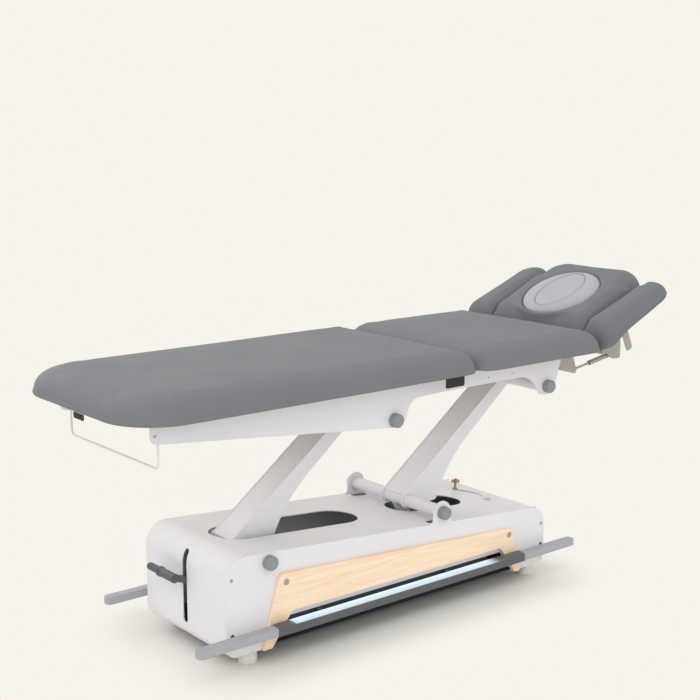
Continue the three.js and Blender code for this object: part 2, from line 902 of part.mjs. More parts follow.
function addPivotSet(parent, label, x, z, faceY) {
  const halfAxle = faceY + capSocketDepth;
  addPiece(parent, `${label}_axle`, rodAlongY(axleDiameter / 2, -halfAxle, halfAxle, x, z), "steel");
  for (const [sideLabel, side] of tableSides)
    addPiece(parent, `${label}_cap_${sideLabel}`, capGeometry(side, faceY).translate(x, 0, z), "capPlastic");
}

// Lift arms, each in a frame with X along the arm from its lower pivot

function armBody(lowerTubeHalf, upperTubeHalf) {
  const corners = armCornerShares.map(([along, across, radius]) => [
    along * armLength,
    across * armFlare,
    radius * armFlareRadius,
  ]);
  const outline = outlinePoints(corners);
  const half = armWidth / 2;
  const cheeks = [-half, half - armCheek].map((y) =>
    join(
      slabAlongY(outline, y, y + armCheek),
      rodAlongY(armHubRadius, y, y + armCheek, 0, 0),
      rodAlongY(armHubRadius, y, y + armCheek, armLength, 0),
    ),
  );
  const core = join(
    slabAlongY(insetOutline(outline, armReveal), -half, half),
    rodAlongY(crossTubeDiameter / 2, -lowerTubeHalf, lowerTubeHalf, 0, 0),
    rodAlongY(crossTubeDiameter / 2, -upperTubeHalf, upperTubeHalf, armLength, 0),
  );
  return cheeks.reduce((body, cheek) => body.add(cheek), core);
}

function armBores(body) {
  const bore = axleDiameter / 2 + boreGap;
  return cutFrom(body, [
    rodAlongY(bore, -baseWidth, baseWidth, 0, 0),
    rodAlongY(bore, -baseWidth, baseWidth, armLength, 0),
  ]);
}

// The lever that the actuator pushes: a plate with a round end, turned down from the arm.
function leverGeometry() {
  const half = leverRootWidth / 2;
  const tip = leverTipRadius * roundEndShare;
  const outline = outlinePoints([
    [0, -half],
    [leverRadius + leverTipRadius, -leverTipRadius, tip],
    [leverRadius + leverTipRadius, leverTipRadius, tip],
    [0, half],
  ]);
  const plate = slabAlongY(outline, -leverThickness / 2, leverThickness / 2);
  return plate.rotateY(-leverFromArm);
}

function buildArms() {
  const lowerHalf = sidePlateInnerY - sideGap;
  const footArm = new THREE.Group();
  footArm.position.set(footPivot.x, 0, footPivot.y);
  footArm.rotation.y = -liftRestAngle;
  table.add(footArm);
  addPiece(footArm, "foot_arm", armBores(armBody(lowerHalf, railInnerY - sideGap)), "whiteMetal");

  const headArm = new THREE.Group();
  headArm.position.set(headPivot.x, 0, headPivot.y);
  headArm.rotation.y = -liftRestAngle;
  table.add(headArm);
  const withLever = armBody(lowerHalf, stripInnerY - sideGap).add(solid(leverGeometry()));
  addPiece(headArm, "head_arm", armBores(withLever), "whiteMetal");

  addPivotSet(table, "base_foot", footPivot.x, footPivot.y, baseHalfWidth);
  addPivotSet(table, "base_head", headPivot.x, headPivot.y, baseHalfWidth);
}

// Actuator, in a frame with X along its stroke from its hinge

function buildActuator() {
  const leverAngle = liftRestAngle + leverFromArm;
  const pin = new THREE.Vector2(Math.cos(leverAngle), Math.sin(leverAngle))
    .multiplyScalar(leverRadius)
    .add(headPivot)
    .sub(actuatorHinge);
  const reach = pin.length();
  const frame = new THREE.Group();
  frame.position.set(actuatorHinge.x, 0, actuatorHinge.y);
  frame.rotation.y = -pin.angle();
  table.add(frame);

  const halfMotor = motorSize / 2;
  const trunnionHalf = motorBracketInnerY + bracketSheet + sideGap;
  const housing = join(
    block(-motorBack, motorLength - motorBack, -halfMotor, halfMotor, -halfMotor, halfMotor),
    rodAlongX(actuatorTubeDiameter / 2, 0, actuatorTubeEnd, 0, 0),
    rodAlongY(trunnionDiameter / 2, -trunnionHalf, trunnionHalf, 0, 0),
  );
  const bore = rodAlongX(
    actuatorRodDiameter / 2 + boreGap,
    actuatorTubeEnd - actuatorBoreDepth,
    actuatorTubeEnd + cutOverrun,
    0,
    0,
  );
  addPiece(frame, "actuator_housing", cutFrom(housing, [bore]), "blackPlastic");

  const root = reach - clevisReach;
  const halfClevis = clevisWidth / 2;
  const rod = join(
    rodAlongX(actuatorRodDiameter / 2, root - actuatorRodLength, root + clevisEye, 0, 0),
    block(root, reach + clevisEye, -halfClevis, halfClevis, -halfClevis, halfClevis),
  );
  const slotHalf = leverThickness / 2 + sideGap;
  const rodCuts = [
    block(
      root + clevisRoot,
      reach + clevisEye + cutOverrun,
      -slotHalf,
      slotHalf,
      -clevisWidth,
      clevisWidth,
    ),
    rodAlongY(trunnionDiameter / 2, -clevisWidth, clevisWidth, reach, 0),
  ];
  addPiece(frame, "actuator_rod", cutFrom(rod, rodCuts), "steel");
}

// Control bars with two stems that run in slots of the chassis

function buildBars() {
  for (const [label, side] of tableSides) {
    const corners = [
      [barFootX, barInnerY, barEndRadius],
      [barFootX + barLength, barInnerY, barEndRadius],
      [barFootX + barLength, barInnerY + barWidth, barEndRadius],
      [barFootX, barInnerY + barWidth, barEndRadius],
    ];
    const plan = planOnSide(outlinePoints(corners, fewArcSteps), side);
    const parts = [slabAlongZ(plan, barTopZ - barHeight, barTopZ)];
    const stemY = onSide(side, channelHalfWidth - barStemInside, barInnerY + barStemInside);
    for (const share of barStemPlaceShares) {
      const x = barFootX + share * barLength;
      parts.push(rodAlongY(barStemDiameter / 2, ...stemY, x, barCentreZ, smallSides));
    }
    addPiece(table, `control_bar_${label}`, join(...parts), "barPlastic");
  }
}

// Castor lever and the carriage that it lowers

function buildCastorLever() {
  const frame = new THREE.Group();
  frame.position.set(castorPivotX, 0, castorPivotZ);
  frame.rotation.y = castorRestAngle;
  table.add(frame);
  const hubHalf = castorBracketInnerY - sideGap;
  const pinHalf = castorBracketInnerY + bracketSheet + sideGap;
  const innerEnd = pedalStart + pedalCollarShare * pedalLength;
  const collarEnd = innerEnd + pedalCollarWidth;
  const pedalEnd = pedalStart + pedalLength;
  const tipRadius = pedalOuterDiameter / 2;
  const tip = new THREE.SphereGeometry(tipRadius, smallSides, smallSides / 2);
  const halfWidth = castorShankWidth / 2;
  const halfHeight = castorShankHeight / 2;
  const lever = join(
    block(-castorReach, 0, -halfWidth, halfWidth, -halfHeight, halfHeight),
    rodAlongY(castorHubRadius, -hubHalf, hubHalf, 0, 0),
    rodAlongY(castorPinDiameter / 2, -pinHalf, pinHalf, 0, 0),
    rodAlongY(pedalInnerDiameter / 2, pedalStart, innerEnd, -castorReach, 0),
    rodAlongY(pedalCollarDiameter / 2, innerEnd, collarEnd, -castorReach, 0),
    rodAlongY(tipRadius, innerEnd, pedalEnd - tipRadius, -castorReach, 0),
    tip.translate(-castorReach, pedalEnd - tipRadius, 0),
  );
  addPiece(frame, "castor_lever", lever, "darkSteel");
}

function buildCarriage() {
  const railLow = wheelCentreZ + wheelDiameter / 2 + wheelTopGap;
  const railHigh = railLow + carriageThickness;
  const footX = wheelPlaces[0][1];
  const headX = wheelPlaces[1][1];
  const crossbarX = footX - crossbarOffset - crossbarSize;
  const across = (wheelSpacingY + forkWidth) / 2;
  const parts = [
    block(crossbarX, crossbarX + crossbarSize, -across, across, railLow, railHigh),
    block(headX, headX + crossbarSize, -across, across, railLow, railHigh),
  ];
  const cuts = [];
  for (const [label, side] of tableSides) {
    const y = (side * wheelSpacingY) / 2;
    const inner = y - forkWidth / 2;
    const outer = y + forkWidth / 2;
    parts.push(block(crossbarX, headX + carriageEnd, inner, outer, railLow, railHigh));
    const hole = guidePostDiameter / 2 + boreGap;
    for (const x of guidePostPlaces)
      cuts.push(rodAlongZ(hole, railLow - cutOverrun, railHigh + cutOverrun, x, y, smallSides));
    for (const [end, x] of wheelPlaces) {
      const forkX = [x - forkLength / 2, x + forkLength / 2];
      const forkZ = [wheelCentreZ - wheelAxleDiameter, railHigh];
      parts.push(block(...forkX, inner, inner + forkThickness, ...forkZ));
      parts.push(block(...forkX, outer - forkThickness, outer, ...forkZ));
      const bore = wheelAxleDiameter / 2 + boreGap;
      cuts.push(rodAlongY(bore, inner - fitGap, outer + fitGap, x, wheelCentreZ, wheelSides));
      const wheel = wheelGeometry().translate(x, y, wheelCentreZ);
      addPiece(table, `castor_wheel_${end}_${label}`, wheel, "rubber");
    }
  }
  const postX = castorPivotX - castorPushRadius;
  const leverRise = castorPushRadius * Math.tan(castorRestAngle);
  const underLever = castorPivotZ + leverRise - castorShankHeight / 2 / Math.cos(castorRestAngle);
  const postTop = underLever - pushPostGap;
  const half = pushPostHalf;
  parts.push(block(postX - half, postX + half, -half, half, railLow, postTop));
  addPiece(table, "castor_carriage", cutFrom(join(...parts), cuts), "steel");
}

function wheelGeometry() {
  const radius = wheelDiameter / 2;
  const half = wheelWidth / 2;
  const stub = forkWidth / 2;
  const axle = wheelAxleDiameter / 2;
  const profile = [
    [0, -stub],
    [axle, -stub],
    [axle, -half],
    [radius - footBevel, -half],
    [radius, -half + footBevel],
    [radius, half - footBevel],
    [radius - footBevel, half],
    [axle, half],
    [axle, stub],
    [0, stub],
  ];
  return turned(profile, wheelSides).rotateX(Math.PI / 2);
}

// Lock key on the cover, its tether and the button that anchors it

function buildKey() {
  const slope = Math.atan2(baseFootEndHeight - baseHeadEndHeight, baseLength);
  const key = new THREE.Group();
  key.position.set(keyX, keyY, baseTopZ(keyX));
  key.rotation.y = slope;
  table.add(key);
  const handleZ = keyHeight - keyHandleDiameter;
  const half = keyHandleLength / 2;
  const radius = keyHandleDiameter / 2;
  const shape = join(
    rodAlongZ(keyStemDiameter / 2, -keyDepth, keyHeight, 0, 0, smallSides),
    rodAlongZ(keyCollarDiameter / 2, fitGap, keyCollarHeight, 0, 0),
    rodAlongX(radius, -half, half, 0, handleZ, smallSides),
    rodAlongY(radius, -half, half, 0, handleZ, smallSides),
  );
  addPiece(key, "lock_key", shape, "bronze");

  const button = new THREE.Group();
  button.position.set(tetherButtonX, tetherButtonY, baseTopZ(tetherButtonX));
  button.rotation.y = slope;
  table.add(button);
  const edge = tetherButtonDiameter / 2;
  const profile = [
    [0, fitGap],
    [edge, fitGap],
    [edge, tetherButtonHeight / 2],
    [edge * buttonCrownShare, tetherButtonHeight],
    [0, tetherButtonHeight],
  ];
  addPiece(button, "tether_button", turned(profile), "footPlastic");

  const points = tetherPoints.map(
    ([fromHeadEnd, y]) =>
      new THREE.Vector3(
        baseHeadEndX - fromHeadEnd,
        y,
        baseTopZ(baseHeadEndX - fromHeadEnd) + tetherDiameter / 2 + fitGap,
      ),
  );
  const path = new THREE.CatmullRomCurve3(points);
  const section = new THREE.Shape(ellipse(tetherDiameter, tetherDiameter, cordSides));
  const options = { steps: tetherSteps, extrudePath: path };
  addPiece(table, "key_tether", new THREE.ExtrudeGeometry(section, options), "steel");
}

// Top frame, in a frame with its origin at the foot arm's upper pivot

function railSideOutline() {
  const stripZ = railTopZ - stripRailDepth;
  const lobeZ = pivotRise - headLobeRadius;
  const lobeHalf = headLobeWidth / 2;
  return outlinePoints([
    [-railFootReach, railTopZ - railFootDepth, railEndRadius],
    [railLobeReach, -railBelowPivot, railLobeRadius],
    [railLobeReach + railStepLength, stripZ, railStepRadius],
    [pivotSpacing - headLobeReach, stripZ, headLobeFillet],
    [pivotSpacing - lobeHalf, lobeZ, headLobeCorner],
    [pivotSpacing + lobeHalf, lobeZ, headLobeCorner],
    [railHeadEnd - railEndSlant, stripZ],
    [railHeadEnd, railTopZ],
    [-railFootReach, railTopZ],
  ]);
}

// The rail from above: a plate that steps inwards past the foot arm, from one X to the head end.
function railPlan(side, footX, depth) {
  const joggleEnd = joggleStart + joggleLength;
  const points = [
    [footX, railOuterY - depth],
    [joggleStart, railOuterY - depth],
    [joggleEnd, stripOuterY - depth],
    [railHeadEnd, stripOuterY - depth],
    [railHeadEnd, stripOuterY],
    [joggleEnd, stripOuterY],
    [joggleStart, railOuterY],
    [footX, railOuterY],
  ].map(([x, y]) => new THREE.Vector2(x, y));
  return planOnSide(points, side);
}

function buildRails() {
  const outline = railSideOutline();
  const flangeZ = railTopZ - railFlangeThickness;
  const bore = axleDiameter / 2 + boreGap;
  for (const [label, side] of tableSides) {
    const webPlan = railPlan(side, -railFootReach, railThickness);
    const web = solid(slabAlongZ(webPlan, -railTopZ, railTopZ));
    const profile = solid(slabAlongY(outline, -railSpacing, railSpacing));
    const flangePlan = railPlan(side, railFlangeInset - railFootReach, railFlangeWidth);
    const flange = solid(slabAlongZ(flangePlan, flangeZ, railTopZ));
    const bores = [
      rodAlongY(bore, -railSpacing, railSpacing, 0, 0),
      rodAlongY(bore, -railSpacing, railSpacing, pivotSpacing, pivotRise),
    ];
    addPiece(top, `rail_${label}`, cutFrom(web.intersect(profile).add(flange), bores), "whiteMetal");
  }
  const barX = crossbarInset - railFootReach;
  const barTop = flangeZ - fitGap;
  const half = railInnerY - fitGap;
  const crossbar = block(barX, barX + crossbarWidth, -half, half, barTop - crossbarHeight, barTop);
  addPiece(top, "foot_crossbar", crossbar, "whiteMetal");
  addPivotSet(top, "top_foot", 0, 0, railOuterY);
  addPivotSet(top, "top_head", pivotSpacing, pivotRise, stripOuterY);
}

// Upholstery: rings of the plan outline, drawn in below, round at the edge and crowned on top.

function cushionGeometry(outline, bottomZ, thickness, crown) {
  const box = new THREE.Box2().setFromPoints(outline);
  const middle = box.getCenter(new THREE.Vector2());
  const edgeHeight = thickness - crown;
  const rings = cushionEdgeShares.map(([inset, height]) => {
    const ring = insetOutline(outline, inset * cushionRound);
    return ring.map((point) => new THREE.Vector3(point.x, point.y, bottomZ + height * edgeHeight));
  });
  const rim = insetOutline(outline, cushionRound);
  for (const share of crownShares) {
    const height = edgeHeight + crown * (1 - (1 - share) ** 2);
    rings.push(
      rim.map((point) => {
        const inward = point.clone().lerp(middle, share);
        return new THREE.Vector3(inward.x, inward.y, bottomZ + height);
      }),
    );
  }
  const points = [new THREE.Vector3(middle.x, middle.y, bottomZ), ...rings.flat()];
  points.push(new THREE.Vector3(middle.x, middle.y, bottomZ + thickness));
  const count = outline.length;
  const last = points.length - 1;
  const faces = [];
  for (let index = 0; index < count; index++) {
    const next = (index + 1) % count;
    faces.push(0, 1 + next, 1 + index);
    for (let ring = 0; ring < rings.length - 1; ring++) {
      const low = 1 + ring * count;
      const high = low + count;
      faces.push(low + index, low + next, high + next);
      faces.push(low + index, high + next, high + index);
    }
    faces.push(last - count + index, last - count + next, last);
  }
  const geometry = new THREE.BufferGeometry().setFromPoints(points);
  geometry.setIndex(faces);
  return geometry;
}

function rectangle(low, high, halfWidth, lowRadius, highRadius) {
  return outlinePoints([
    [low, -halfWidth, lowRadius],
    [high, -halfWidth, highRadius],
    [high, halfWidth, highRadius],
    [low, halfWidth, lowRadius],
  ]);
}

// A flat section on the rails: a board let into the underside of its cushion.
function addSection(label, low, high, lowRadius, highRadius) {
  const outline = rectangle(low, high, cushionWidth / 2, lowRadius, highRadius);
  const halfBoard = cushionWidth / 2 - boardInset;
  const boardZ = railTopZ + fitGap;
  const boardTop = boardZ + boardThickness;
  const boardEnds = [low + boardInset, high - boardInset];
  const board = rectangle(...boardEnds, halfBoard, boardCornerRadius, boardCornerRadius);
  const pocket = slabAlongZ(insetOutline(board, -fitGap), boardZ - cutOverrun, boardTop + fitGap);
  const cushion = solid(cushionGeometry(outline, cushionBottomZ, cushionThickness, cushionCrown));
  addPiece(top, `${label}_board`, slabAlongZ(board, boardZ, boardTop), "plywood");
  addPiece(top, `${label}_cushion`, cutFrom(cushion, [pocket]), "upholstery");
}

function buildSections() {
  const footEnd = -railFootReach - cushionFootOverhang;
  const seam = cushionSeam / 2;
  const corner = cushionCornerRadius;
  addSection("leg", footEnd, legCushionEnd - seam, legFootCornerRadius, corner);
  addSection("mid", legCushionEnd + seam, legCushionEnd + midCushionLength, corner, corner);
}

// Wire holder for a paper roll, across the foot end and open at its near end

function buildPaperHolder() {
  const radius = paperWireDiameter / 2;
  const x = paperInset - railFootReach;
  const plateTop = railTopZ;
  const low = plateTop - paperDrop;
  const turn = paperBend;
  const section = new THREE.Shape(ellipse(paperWireDiameter, paperWireDiameter, cordSides));
  const circleShare = (4 / 3) * Math.tan(Math.PI / 8);
  const bendCurve = new THREE.CubicBezierCurve3(
    new THREE.Vector3(x, paperReach, low + turn),
    new THREE.Vector3(x, paperReach, low + turn - turn * circleShare),
    new THREE.Vector3(x, paperReach - turn + turn * circleShare, low),
    new THREE.Vector3(x, paperReach - turn, low),
  );
  const options = { steps: bendSteps, extrudePath: bendCurve };
  const overlap = fitGap;
  const wire = join(
    rodAlongZ(radius, low + turn - overlap, plateTop - radius / 2, x, paperReach, smallSides),
    new THREE.ExtrudeGeometry(section, options),
    rodAlongY(radius, -paperReach, paperReach - turn + overlap, x, low, smallSides),
    block(
      x - paperPlateLength / 2,
      x + paperPlateLength / 2,
      paperReach - paperPlateWidth / 2,
      paperReach + paperPlateWidth / 2,
      plateTop - paperPlateThickness,
      plateTop,
    ),
  );
  addPiece(top, "paper_holder", wire, "whiteMetal");
}

// Hinge bracket of the head section: two plates inside the rails' webs, joined by a tube
// that carries the lug of the tilt strut.

// A flat link with round ends from one point to another.
function linkOutline(from, to, radius) {
  const span = to.clone().sub(from);
  const angle = span.angle();
  const link = stadium(-radius, span.length() + radius, 0, radius);
  return link.map((point) => point.rotateAround(new THREE.Vector2(), angle).add(from));
}

function buildHingeBracket() {
  const bracket = new THREE.Group();
  bracket.position.set(headHinge.x, 0, headHinge.y);
  top.add(bracket);
  const outer = stripInnerY - fitGap;
  const eyeRadius = headHingeDrop - sideGap;
  const pastRail = railHeadEnd + fitGap - headHinge.x;
  const boardGapZ = railTopZ - headHinge.y;
  const flangeGapZ = boardGapZ - railFlangeThickness - fitGap;
  const lower = hingePlateShares.map(([along, up, radius]) => [
    along * hingePlateLength,
    up * hingePlateDepth,
    radius * hingePlateDepth,
  ]);
  const upper = [
    [0, boardGapZ],
    [pastRail, boardGapZ],
    [pastRail, flangeGapZ],
    [-hingePlateLength, flangeGapZ],
  ];
  const outline = outlinePoints([...lower, ...upper], fewArcSteps);
  const strutTube = new THREE.Vector2(strutTubeX, strutTubeZ);
  const lugY = [-lugOuterY, lugThickness - lugOuterY];
  const boltEnd = strutPlaneY + strutEyeWidth;
  const parts = [
    rodAlongY(strutCylinderDiameter / 2, -outer, outer, strutTube.x, strutTube.y),
    slabAlongY(linkOutline(strutTube, strutFoot, strutEyeRadius), ...lugY),
    rodAlongY(strutBoltDiameter / 2, -boltEnd, lugY[1], strutFoot.x, strutFoot.y),
  ];
  for (const [, side] of tableSides) {
    const plateY = onSide(side, outer - hingePlateThickness, outer);
    parts.push(slabAlongY(outline, ...plateY), rodAlongY(eyeRadius, ...plateY, 0, 0));
  }
  const bore = rodAlongY(headTubeDiameter / 2 + boreGap, -railSpacing, railSpacing, 0, 0);
  addPiece(bracket, "head_hinge_bracket", cutFrom(join(...parts), [bore]), "greigeMetal");
}


// Head section, in a frame with X along its slope and Z square to it, from its hinge

// The root faces of the head's cushions lean back, so that they clear the fixed section.
function leanRoot(geometry) {
  const points = geometry.attributes.position;
  for (let index = 0; index < points.count; index++) {
    const x = points.getX(index);
    const up = (points.getZ(index) - headCushionZ) / cushionThickness;
    const fade = 1 - smoothstep((x - headRootClearance) / headRootLeanLength, 0, 1);
    points.setX(index, x + headRootLean * up * fade);
  }
  return geometry;
}

function plugDisc(diameter, zLow, zHigh) {
  return rodAlongZ(diameter / 2, zLow, zHigh, plugCentre, 0, plugSides);
}

// The plate under the frame that the tilt strut lifts.
function strutLug() {
  const tip = strutHead.clone().rotateAround(new THREE.Vector2(), -headRestAngle);
  const round = lugTipRadius * roundEndShare;
  const low = tip.y - lugTipRadius;
  const outline = outlinePoints([
    [tip.x - lugTipRadius, low, round],
    [tip.x + lugTipRadius, low, round],
    [tip.x + lugRootWidth / 2, headFrameThickness],
    [tip.x - lugRootWidth / 2, headFrameThickness],
  ]);
  return slabAlongY(outline, -lugOuterY, lugThickness - lugOuterY);
}

function buildHeadFrame() {
  const half = headFrameWidth / 2;
  const plate = [headFrameRoot, headFrameEnd, half, boardCornerRadius, headFarCornerRadius];
  const tubeHalf = stripInnerY + hingePlateThickness;
  const padTubeHalf = padBracketInnerY + padBracketWidth + sideGap;
  const tubeRadius = headTubeDiameter / 2;
  const parts = [
    slabAlongZ(rectangle(...plate), 0, headFrameThickness),
    rodAlongY(tubeRadius, -tubeHalf, tubeHalf, 0, 0),
    rodAlongY(tubeRadius, -padTubeHalf, padTubeHalf, padHingeReach, -padHingeDrop),
    strutLug(),
  ];
  for (const [, side] of tableSides) {
    const halfTongue = headTongueWidth / 2;
    const tongueY = onSide(side, headTongueY - halfTongue, headTongueY + halfTongue);
    const tongueX = [0, headFrameRoot + headTongueWidth];
    parts.push(block(...tongueX, ...tongueY, -headTongueHalf, headTongueHalf));
  }
  const hole = plugDisc(plugStemDiameter + 2 * plugSeatGap, -cutOverrun, cutOverrun);
  addPiece(head, "head_frame", cutFrom(join(...parts), [hole]), "greigeMetal");
}

function buildHeadCushion() {
  const half = headCushionWidth / 2;
  const corners = [headRootCornerRadius, headFarCornerRadius];
  const outline = rectangle(headRootClearance, headLength, half, ...corners);
  const form = cushionGeometry(outline, headCushionZ, cushionThickness, cushionCrown);
  const seat = plugDisc(plugDiameter + 2 * plugSeatGap, plugSeatZ, plugTopZ + cutOverrun);
  const hole = plugDisc(plugStemDiameter + 2 * plugSeatGap, -cutOverrun, plugTopZ);
  addPiece(head, "head_cushion", cutFrom(solid(leanRoot(form)), [seat, hole]), "upholstery");
}

function buildFacePlug() {
  const radius = plugDiameter / 2;
  const stem = plugStemDiameter / 2;
  const seat = plugSeatZ + fitGap;
  const rim = Array.from({ length: fewArcSteps + 1 }, (_, step) => {
    const angle = ((Math.PI / 2) * step) / fewArcSteps;
    const inward = plugEdgeRound * (1 - Math.cos(angle));
    return [radius - inward, plugTopZ - plugEdgeRound * (1 - Math.sin(angle))];
  });
  const profile = [
    [0, plugSeatZ - plugStemLength],
    [stem, plugSeatZ - plugStemLength],
    [stem, seat],
    [radius - plugSeatGap, seat],
    [radius, seat + plugSeatGap],
    ...rim,
    [0, plugTopZ],
  ];
  const dish = slabAlongZ(
    ellipse(plugDishLength, plugDishWidth, plugSides),
    plugTopZ - plugDishDepth,
    plugTopZ + cutOverrun,
  );
  const plug = cutFrom(solid(turned(profile, plugSides)), [dish]).translate(plugCentre, 0, 0);
  addPiece(head, "face_plug", plug, "plugVinyl");
}

function buildPads() {
  const plate = [padHingeReach, padHingeReach + padBracketLength];
  const plateTop = headCushionZ - fitGap;
  const plateLow = plateTop - padBracketThickness;
  const hanger = outlinePoints([
    [padHangerPlace, -padHangerDrop, padHangerWidth / 3],
    [padHangerPlace + padHangerWidth, -padHangerDrop, padHangerWidth / 3],
    [padHangerPlace + padHangerWidth, plateTop],
    [padHangerPlace, plateTop],
  ]);
  const outline = outlinePoints([
    [headRootClearance, padInnerY, padSeamCornerRadius],
    [padLength, padInnerY + padTipSweep, padTipInnerRadius],
    [padLength, padOuterY, padTipOuterRadius],
    [headRootClearance, padOuterY, padRootCornerRadius],
  ]);
  const bore = headTubeDiameter / 2 + boreGap;
  for (const [label, side] of tableSides) {
    const bracketY = onSide(side, padBracketInnerY, padBracketInnerY + padBracketWidth);
    const hangerY = padBracketInnerY + padBracketWidth / 2;
    const bracket = join(
      block(...plate, ...bracketY, plateLow, plateTop),
      rodAlongY(padKnuckleRadius, ...bracketY, padHingeReach, -padHingeDrop),
      slabAlongY(hanger, ...onSide(side, hangerY, hangerY + padHangerThickness)),
    );
    const hole = rodAlongY(bore, -cushionWidth, cushionWidth, padHingeReach, -padHingeDrop);
    addPiece(head, `pad_bracket_${label}`, cutFrom(bracket, [hole]), "greigeMetal");
    const form = cushionGeometry(planOnSide(outline, side), headCushionZ, cushionThickness, padCrown);
    addPiece(head, `arm_pad_${label}`, solid(leanRoot(form)), "upholstery");
  }
}

// Tilt strut, in a frame with X from its foot to its head

function buildStrut() {
  const span = strutHead.clone().sub(strutFoot);
  const reach = span.length();
  const strut = new THREE.Group();
  strut.position.set(headHinge.x + strutFoot.x, -strutPlaneY, headHinge.y + strutFoot.y);
  strut.rotation.y = -span.angle();
  top.add(strut);
  const halfEye = strutEyeWidth / 2;
  const boltBore = strutBoltDiameter / 2 + boreGap;
  const rod = join(
    rodAlongX(strutRodDiameter / 2, 0, strutRodLength, 0, 0, smallSides),
    rodAlongY(strutEyeRadius, -halfEye, halfEye, 0, 0),
  );
  const rodHole = rodAlongY(boltBore, -strutEyeWidth, strutEyeWidth, 0, 0);
  addPiece(strut, "tilt_strut_rod", cutFrom(rod, [rodHole]), "steel");

  const mouth = reach - strutCylinderLength;
  const cylinder = join(
    rodAlongX(strutCylinderDiameter / 2, mouth, reach, 0, 0),
    rodAlongY(strutEyeRadius, -halfEye, halfEye, reach, 0),
  );
  const cuts = [
    rodAlongX(strutRodDiameter / 2 + boreGap, mouth - cutOverrun, mouth + strutBoreDepth, 0, 0, smallSides),
    rodAlongY(boltBore, -strutCylinderDiameter, strutCylinderDiameter, reach, 0, smallSides),
  ];
  addPiece(strut, "tilt_strut_cylinder", cutFrom(cylinder, cuts), "greigeMetal");
}

buildCover();
buildSides();
buildFeet();
buildChassis();
buildElectrics();
buildKey();
buildArms();
buildActuator();
buildBars();
buildCastorLever();
buildCarriage();
buildRails();
buildSections();
buildPaperHolder();
buildHingeBracket();
buildHeadFrame();
buildHeadCushion();
buildFacePlug();
buildPads();
buildStrut();

// The table stands centred on its origin, on the floor.
const part = new THREE.Group();
part.add(table);
part.updateMatrixWorld(true);
const bounds = new THREE.Box3().setFromObject(part, true);
const centre = bounds.getCenter(new THREE.Vector3());
table.position.set(-centre.x, -centre.y, -bounds.min.z);

export default part;
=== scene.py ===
import json
import math

import bpy
import numpy
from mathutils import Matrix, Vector

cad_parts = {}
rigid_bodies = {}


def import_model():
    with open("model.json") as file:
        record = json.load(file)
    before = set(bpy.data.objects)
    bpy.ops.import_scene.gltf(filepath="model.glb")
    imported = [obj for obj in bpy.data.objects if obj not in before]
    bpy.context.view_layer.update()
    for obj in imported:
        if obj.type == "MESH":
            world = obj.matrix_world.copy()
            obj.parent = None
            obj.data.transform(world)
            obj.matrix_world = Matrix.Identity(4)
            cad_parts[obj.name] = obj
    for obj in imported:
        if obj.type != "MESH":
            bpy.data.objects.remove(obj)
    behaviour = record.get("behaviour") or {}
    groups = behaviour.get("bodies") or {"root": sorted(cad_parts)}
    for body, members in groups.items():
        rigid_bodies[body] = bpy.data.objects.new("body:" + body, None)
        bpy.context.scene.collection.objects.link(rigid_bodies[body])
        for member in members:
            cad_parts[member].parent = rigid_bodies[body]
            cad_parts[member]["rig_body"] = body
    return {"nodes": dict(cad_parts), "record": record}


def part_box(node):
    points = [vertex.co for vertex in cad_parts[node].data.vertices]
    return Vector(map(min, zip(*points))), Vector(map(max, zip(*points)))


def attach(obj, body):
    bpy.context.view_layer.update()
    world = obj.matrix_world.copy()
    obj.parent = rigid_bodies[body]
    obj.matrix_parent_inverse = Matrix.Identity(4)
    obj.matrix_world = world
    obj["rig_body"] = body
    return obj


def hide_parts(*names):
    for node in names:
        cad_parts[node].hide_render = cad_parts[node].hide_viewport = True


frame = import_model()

scene = bpy.context.scene
nodes = frame["nodes"]
slots = {row["node"]: row["material_slot"] for row in frame["record"]["subparts"]}
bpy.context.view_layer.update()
drawingShift = 12.4105  # the drawing's X runs this far ahead of the part's, in mm
quarterTurn = math.radians(90)


def place(x, y, z):  # from the drawing's millimetres to metres
    return Vector(((x - drawingShift) / 1000, y / 1000, z / 1000))


# selecting, placing and finishing


def pick(*pieces):
    if bpy.context.object and bpy.context.object.mode != "OBJECT":
        bpy.ops.object.mode_set(mode="OBJECT")
    bpy.ops.object.select_all(action="DESELECT")
    for piece in pieces:
        piece.select_set(True)
        bpy.context.view_layer.objects.active = piece


def edit(piece):
    pick(piece)
    bpy.ops.object.mode_set(mode="EDIT")


def choose(piece, kind, wanted):  # selects by place or normal, in edit mode
    edit(piece)
    bpy.ops.mesh.select_mode(type=kind)
    bpy.ops.mesh.select_all(action="DESELECT")
    bpy.ops.object.mode_set(mode="OBJECT")
    mesh = piece.data
    if kind == "VERT":
        for vert in mesh.vertices:
            vert.select = wanted(vert.co)
    elif kind == "EDGE":
        for line in mesh.edges:
            line.select = wanted(*(mesh.vertices[i].co for i in line.vertices))
    else:
        for face in mesh.polygons:
            face.select = wanted(face.center, face.normal)
    bpy.ops.object.mode_set(mode="EDIT")


def facedOut():  # the last step of an edit
    bpy.ops.mesh.select_all(action="SELECT")
    bpy.ops.mesh.normals_make_consistent(inside=False)
    bpy.ops.object.mode_set(mode="OBJECT")


def bevelled(piece, kind, wanted, width, segments):
    choose(piece, kind, wanted)
    affect = "VERTICES" if kind == "VERT" else "EDGES"
    bpy.ops.mesh.bevel(offset=width, segments=segments, affect=affect)
    bpy.ops.object.mode_set(mode="OBJECT")
    return piece


def thickened(piece, move):  # a flat face drawn out to a solid
    choose(piece, "FACE", lambda centre, normal: True)
    bpy.ops.mesh.extrude_region_move(TRANSFORM_OT_translate={"value": move})
    facedOut()
    return piece


def named(name):
    piece = bpy.context.object
    piece.name = piece.data.name = name
    return piece


